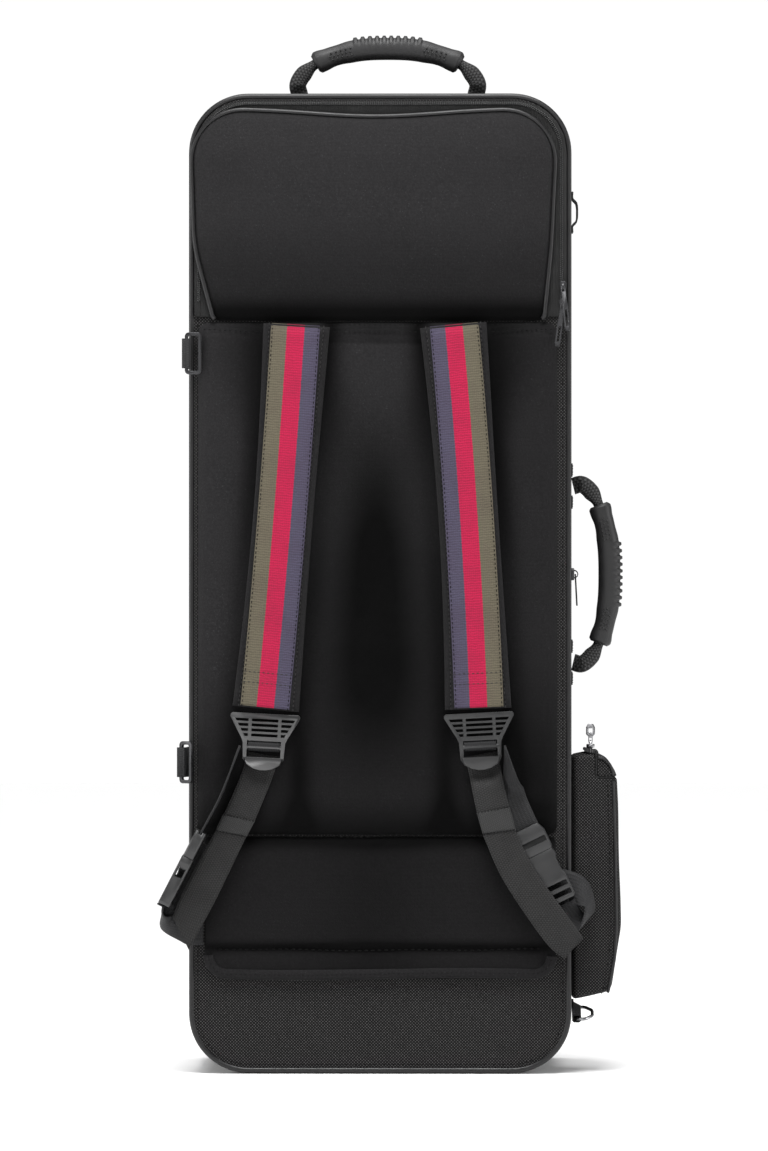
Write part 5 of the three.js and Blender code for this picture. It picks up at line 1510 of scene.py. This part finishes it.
class CASE_OT_adjusters(bpy.types.Operator):
    """Make the ladder locks, the tails, the lower straps and the side-release buckles"""
    bl_idname = "case.adjusters"
    bl_label = "Strap adjusters and buckles"

    def execute(self, context):
        for side in ("left", "right"):
            lock, lower = f"{side}_lock", f"{side}_lower"
            node = f"{side}_ladder_lock"
            stand_in(node, f"{node}_body", lock, "plastic", 0.55, sharp=30)
            finished(self.roll(side), lock)
            self.tail(side, lock)
            for run, part in (("strand", "lower_strand"), ("anchor", "anchor_tab")):
                made = webbing_run(f"{side}_{part}_band", *LOWER_WEBBING[side][run], WEBBING_WIDTH)
                finished(made, lower, [f"{side}_{part}"])
            for fold, run in FOLDS[side].items():
                finished(webbing_run(f"{side}_anchor_{fold}", *run), lower)
            for part, body in (("socket", lower), ("plug", f"{side}_plug")):
                node = f"{side}_buckle_{part}"
                stand_in(node, f"{node}_body", body, "plastic", 0.5)
        return {"FINISHED"}

    def roll(self, side):
        """The webbing that goes round the lock's bar, seen in its window."""
        x, z, turn = LOCKS[side]
        c, s = math.cos(math.radians(turn)), math.sin(math.radians(turn))
        span = np.linspace(-14.0, 14.0, 30)
        path = line_at(x + span * c + LOCK_BAR * s, z + LOCK_BAR * c - span * s, LOCK_BAR_DEPTH)
        section = pillow_section(9.0, 5.4, 2.3, 20)
        return swept(f"{side}_lock_roll", path, (s, 0, c), section, FINISH["webbing"])

    def tail(self, side, lock):
        """The loose end of a strap, with its doubled hem and the stitches on that."""
        made = band(f"{side}_tail_band", TAILS[side], 1.5, FINISH["tail"], 8)
        finished(made, lock, [f"{side}_adjuster_tail"])
        ends = [(np.array(left), np.array(right)) for left, right in TAILS[side][3:5]]
        hem = [(left + [-0.3, -0.75, 0], right + [0.3, -0.75, 0]) for left, right in ends]
        middle = [(hem[0][k] + hem[1][k]) / 2 + [0, -0.25, 0] for k in (0, 1)]
        made = band(f"{side}_tail_hem", [hem[0], middle, hem[1]], 1.9, FINISH["hem"], 5)
        finished(made, lock)
        rows = [
            (np.linspace(left + [1.5, -1.9, 0], right + [-1.5, -1.9, 0], 14), BACKWARD, False)
            for left, right in ends
        ]
        made = stitches(f"{side}_tail_stitches", rows, 27, length=1.8, spacing=2.7)
        finished(made, lock)


class CASE_OT_handles(bpy.types.Operator):
    """Make the top and side handles"""
    bl_idname = "case.handles"
    bl_label = "Handles"

    def execute(self, context):
        for place in HANDLES:
            body = f"{place}_handle"
            finished(self.grip(place), body, [f"{place}_handle_grip"])
            finished(self.band(place), body, [f"{place}_handle_webbing"])
            finished(self.dots(place), body)
            self.feet(place)
        return {"FINISHED"}

    def curve(self, place):
        """The handle's middle line, and the way out from it."""
        rise = HANDLES[place]["rise"]
        half = [
            (-HANDLE_REACH, 0), (-79.5, 0.22 * rise), (-72, 0.46 * rise), (-58, 0.66 * rise),
            (-29, 0.84 * rise),
        ]
        points = half + [(0, 0.88 * rise)] + [(-x, z) for x, z in half[::-1]]
        line = resampled(smooth_run(points, 20), 241)
        along = np.gradient(line, axis=0)
        along /= np.linalg.norm(along, axis=1, keepdims=True)
        return line, np.stack([-along[:, 1], along[:, 0]], axis=1)

    def placed(self, place, span, side, rise):
        """Points of the handle's own span, side and rise, set on the case."""
        x, y, z = HANDLES[place]["place"]
        if place == "top":
            return np.stack([x + span, y + side, z + rise], axis=-1)
        return np.stack([x + rise, y + side, z - span], axis=-1)

    def band(self, place):
        """The webbing that runs through the grip, flat at its feet and full in its arms."""
        line, out = self.curve(place)
        t = np.linspace(0, 1, len(line))
        end = np.minimum(t, 1 - t)
        path = self.placed(place, line[:, 0], 0 * t, line[:, 1])
        across = self.placed(place, out[:, 0], 0 * t, out[:, 1]) - HANDLES[place]["place"]
        return swept(
            f"{place}_handle_band", path, across, pillow_section(2, 2, 2.6, 24), FINISH["handle_band"],
            wide=7.5 - 3.0 * smoothstep(end, 0.1, 0.165), thick=2 + 6 * smoothstep(end, 0, 0.05),
        )

    def grip(self, place):
        """A hollow rubber grip: thick collars, sloping shoulders and ribs across its top."""
        line, out = self.curve(place)
        ribs = bpy.context.scene.case_sewing.ribs
        rib_from, rib_to = 0.27, 0.73
        square = 2 / 2.7
        turn = np.linspace(0, 2 * math.pi, 28, endpoint=False)
        up, across = np.cos(turn), np.sin(turn)
        up, across = np.sign(up) * np.abs(up) ** square, np.sign(across) * np.abs(across) ** square
        rings = []

        def ring(t, over, under, wide):
            at = (GRIP_START + GRIP_SHARE * t) * (len(line) - 1)
            k = min(int(at), len(line) - 2)
            share = at - k
            middle = line[k] * (1 - share) + line[k + 1] * share
            way = out[k] * (1 - share) + out[k + 1] * share
            height = np.where(up > 0, up * over, up * under)
            return self.placed(
                place, middle[0] + way[0] * height, across * wide, middle[1] + way[1] * height,
            )

        for t in np.concatenate([[0, 0.004, 0.012], np.linspace(0.02, 0.98, 230), [0.988, 0.996, 1]]):
            end = min(t, 1 - t)
            collar = float(smoothstep(end, -0.004, 0.02))
            shoulder = float(smoothstep(end, 0.16, 0.26))
            waist = float(smoothstep(end, 0.05, 0.14))
            over = 7.6 + 2.6 * collar + 0.9 * shoulder - 0.9 * float(smoothstep(end, 0.03, 0.09))
            under = 7.4 + 2.3 * collar - 1.3 * waist + 0.9 * shoulder
            if rib_from < t < rib_to:
                beat = math.sin(math.pi * ribs * (t - rib_from) / (rib_to - rib_from)) ** 2
                over += 2.1 * smoothstep(beat, 0.25, 0.6)
            rings.append(ring(t, over, under, 9.4 + 2.4 * collar - 0.8 * waist + 0.6 * shoulder))
        bore, bore_wide = 5.7, 9.2
        for t in np.linspace(1, 0, 24):
            rings.append(ring(t, bore, bore, bore_wide))
        points, faces = loft(rings, True)
        return new_object(f"{place}_grip_rubber", points, faces, FINISH["rubber"], smooth=50)

    def feet(self, place):
        """Webbing patches on both sides of each end, clear of the swinging band, with crossed stitching."""
        rows = []
        for end, name in ((-HANDLE_REACH, "first"), (HANDLE_REACH, "second")):
            for near, far, part in ((-20, -8.4, "a"), (8.4, 20, "b")):
                span = np.linspace(end + near, end + far, 12)
                path = self.placed(place, span, 0 * span, np.full(12, -1.25))
                across = self.placed(place, 0 * span, 0 * span + 1, 0 * span) - HANDLES[place]["place"]
                patch_name = f"{place}_handle_foot_{name}_{part}"
                made = swept(patch_name, path, across, flat_section(27, 1.3), FINISH["webbing"])
                finished(made, "base")
                low, high = near + 2, far - 2
                box = resampled([
                    (low, -11), (high, -11), (high, 11), (low, 11), (low, -11), (high, 11),
                ], 40)
                points = self.placed(place, end + box[:, 0], box[:, 1], np.full(40, -0.45))
                rows.append((points, HANDLES[place]["out"], False))
        made = stitches(f"{place}_handle_stitches", rows, 33, "thread", length=1.9, spacing=2.8)
        finished(made, "base")

    def dots(self, place):
        """Three rows of small moulded dots near each end of the grip, on both its faces."""
        line, out = self.curve(place)
        lines = []
        for face in (-1, 1):
            for near, far in ((0.245, 0.335), (0.665, 0.755)):
                for row in (-1, 0, 1):
                    t = np.linspace(near, far, 12) + 0.006 * (row % 2)
                    at = (t * (len(line) - 1)).astype(int)
                    middle = line[at] + out[at] * row * 3.0
                    depth = np.full(len(t), face * (12.2 - 0.5 * abs(row)))
                    points = self.placed(place, middle[:, 0], depth, middle[:, 1])
                    lines.append((points, (0, face, 0), False))
        return along_paths(
            f"{place}_grip_dots", lines, ROW_TREE, FINISH["rubber"], spacing=0.0036, length=0.0019,
            width=0.0019, height=0.0014, unevenness=0.03, seed=29,
        )


class CASE_OT_pouch(bpy.types.Operator):
    """Make the small zipped pouch on the right side"""
    bl_idname = "case.pouch"
    bl_label = "Side pouch"

    def execute(self, context):
        for node, body in (("pouch_body", "base"), ("pouch_lid", "pouch_lid_flap")):
            made = draped(
                node, f"{node}_cloth", FINISH["twill"], cell=1.2, rounds=5, amount=0.4, size=60, seed=61,
            )
            finished(made, body, [node])
        self.seams()
        slider_and_pull("pouch", "chrome")
        return {"FINISHED"}

    def seams(self):
        """Piping on the outer corners and the lid, the mouth's tapes and zip, and rows of stitches."""
        z = np.linspace(70, 256, 60)
        x = np.interp(z, [64, 71, 100, 128, 200, 264], [196, 200.5, 206, 207.5, 206.5, 204.5])
        lines = [(line_at(x, z, y), (0, out, 0), False) for y, out in POUCH_SIDES]
        rows = [(line_at(x - 5, z, y + 0.1 * out), (0, out, 0), False) for y, out in POUCH_SIDES]
        finished(piping_cord("pouch_piping_cord", lines, 1.4, sides=10), "base")
        turn = np.linspace(0.03, 0.47 * math.pi, 24)
        middle_x, middle_z, wide, high = POUCH_ARCH
        x, z = middle_x + wide * np.cos(turn), middle_z + high * np.sin(turn)
        lines = [(line_at(x, z, y - 0.2 * out), (0, out, 0), False) for y, out in POUCH_SIDES]
        made = piping_cord("pouch_lid_piping_cord", lines, 1.3, spacing=2.0, sides=10)
        finished(made, "pouch_lid_flap")
        mouth = resampled([(189.9, 282.4), (189.9, 259.4), (206.4, 259.4)], 60)
        tape = FINISH["tape"]
        for y, face in ((-91.6, "back"), (-11.4, "front")):
            path = in_plane(mouth, y)
            made = swept(f"pouch_mouth_tape_{face}", path, (0, 1, 0), flat_section(4.6, 1.9), tape)
            finished(made, "base")
        path = np.stack([np.full(50, 185.6), np.linspace(-91, -12, 50), np.full(50, 282.9)], axis=1)
        path[:, 2] -= 2.2 * np.abs(np.linspace(-1, 1, 50)) ** 6
        made = swept("pouch_zip_cloth", path, (0.95, 0, -0.2), flat_section(13, 1.2), tape)
        finished(made, "base")
        lines = [(path + [shift, 0, 0.6], (0, 0, 1), False) for shift in (-0.8, 0.8)]
        finished(teeth("pouch_zip_teeth", lines, 14), "base")
        finished(stitches("pouch_stitches", rows, 23), "base")


class CASE_OT_rings(bpy.types.Operator):
    """Make the rings, their tabs and the side loop"""
    bl_idname = "case.rings"
    bl_label = "Rings, tabs and loop"

    def execute(self, context):
        for node, name, body, finish, slot in (
            ("upper_side_ring", "upper_ring_wire", "upper_ring", "black_metal", "black_metal"),
            ("lower_side_ring", "lower_ring_wire", "lower_ring", "black_metal", "black_metal"),
            ("d_ring", "d_ring_wire", "hanging_d_ring", "chrome", "chrome_metal"),
            ("upper_side_tab", "upper_tab_band", "base", "webbing", "webbing"),
            ("lower_side_tab", "lower_tab_band", "base", "webbing", "webbing"),
            ("d_ring_tab", "d_ring_tab_band", "base", "webbing", "webbing"),
            ("right_side_loop", "side_loop_band", "base", "webbing", "webbing"),
        ):
            stand_in(node, name, body, finish, 0.3)
        return {"FINISHED"}


class CASE_OT_stage(bpy.types.Operator):
    """Lay a pale floor and set the lights and the camera"""
    bl_idname = "case.stage"
    bl_label = "Stage"

    def execute(self, context):
        scene = context.scene
        floor = smooth_finish("pale_floor", (0.93, 0.93, 0.93), 0.7, grain=3.0, depth=0.05, mottle=0.02)
        reach = FLOOR_REACH
        points = [(x, y, FLOOR_LEVEL) for x, y in rectangle(-reach, -reach, reach, reach)]
        new_object("floor", points, [(0, 1, 2, 3)], floor)
        self.sky(scene)
        for name, place, aim_height, size, power in SOFTBOXES:
            light = bpy.data.lights.new(name, "AREA")
            light.shape = "SQUARE"
            light.size = size
            light.energy = power
            lamp = linked(name, light)
            lamp.location = place
            aim = Vector((0, 0, aim_height))
            lamp.rotation_euler = (aim - Vector(place)).to_track_quat("-Z", "Y").to_euler()
        above = bpy.data.lights.new("overhead_light", "SUN")
        above.energy = 2.6
        above.angle = math.radians(50)
        linked("overhead_light", above)
        self.camera(scene)
        return {"FINISHED"}

    def sky(self, scene):
        """A white backdrop for the camera, which lights the case less brightly than it looks."""
        world = bpy.data.worlds.new("studio")
        world.use_nodes = True
        background = world.node_tree.nodes["Background"]
        background.inputs["Color"].default_value = (1, 1, 1, 1)
        seen = world.node_tree.nodes.new("ShaderNodeLightPath").outputs["Is Camera Ray"]
        strength = add_node(world.node_tree, "ShaderNodeMath", seen, 0.72, 0.3, operation="MULTIPLY_ADD")
        world.node_tree.links.new(strength.outputs[0], background.inputs["Strength"])
        scene.world = world
        scene.view_settings.view_transform = "Standard"

    def camera(self, scene):
        given = scene.case_camera
        turn, lift = given.azimuth, given.elevation
        away = Vector((
            math.sin(turn) * math.cos(lift), -math.cos(turn) * math.cos(lift), math.sin(lift),
        ))
        data = bpy.data.cameras.new("photograph_view")
        data.sensor_fit = "VERTICAL"
        data.sensor_height = SENSOR_HEIGHT
        data.lens = SENSOR_HEIGHT * given.distance / SEEN_HEIGHT
        data.clip_end = 60
        eye = linked("photograph_view", data)
        eye.location = Vector(CAMERA_AIM) + away * given.distance
        eye.rotation_euler = (-away).to_track_quat("-Z", "Y").to_euler()
        scene.camera = eye


BUILD_ORDER = (
    CASE_OT_stage, CASE_OT_shells, CASE_OT_piping, CASE_OT_main_zip, CASE_OT_interior, CASE_OT_pocket,
    CASE_OT_back_pad, CASE_OT_lumbar_flap, CASE_OT_shoulder_straps, CASE_OT_adjusters, CASE_OT_handles,
    CASE_OT_pouch, CASE_OT_rings,
)
SETTINGS = {
    "case_sizes": CaseSizes, "case_colours": ClothColours, "case_sewing": SewingSizes,
    "case_camera": CameraSizes,
}


class CASE_PT_builder(bpy.types.Panel):
    """Lists the case's sizes and the steps that build it"""
    bl_idname = "CASE_PT_builder"
    bl_label = "Saxophone case"
    bl_space_type = "VIEW_3D"
    bl_region_type = "UI"
    bl_category = "Case"

    def draw(self, context):
        for holder, kind in SETTINGS.items():
            box = self.layout.box()
            for key in kind.__annotations__:
                box.prop(getattr(context.scene, holder), key)
        for operator in BUILD_ORDER:
            self.layout.operator(operator.bl_idname)


def register():
    for kind in (*SETTINGS.values(), *BUILD_ORDER, CASE_PT_builder):
        bpy.utils.register_class(kind)
    for holder, kind in SETTINGS.items():
        setattr(bpy.types.Scene, holder, PointerProperty(type=kind))


def unregister():
    for holder in SETTINGS:
        delattr(bpy.types.Scene, holder)
    for kind in reversed((*SETTINGS.values(), *BUILD_ORDER, CASE_PT_builder)):
        bpy.utils.unregister_class(kind)


def main():
    register()
    row_tree()
    tube_tree()
    FINISH.update(make_finishes())
    for operator in BUILD_ORDER:
        group, step = operator.bl_idname.split(".")
        getattr(getattr(bpy.ops, group), step)()


if __name__ == "__main__":
    main()
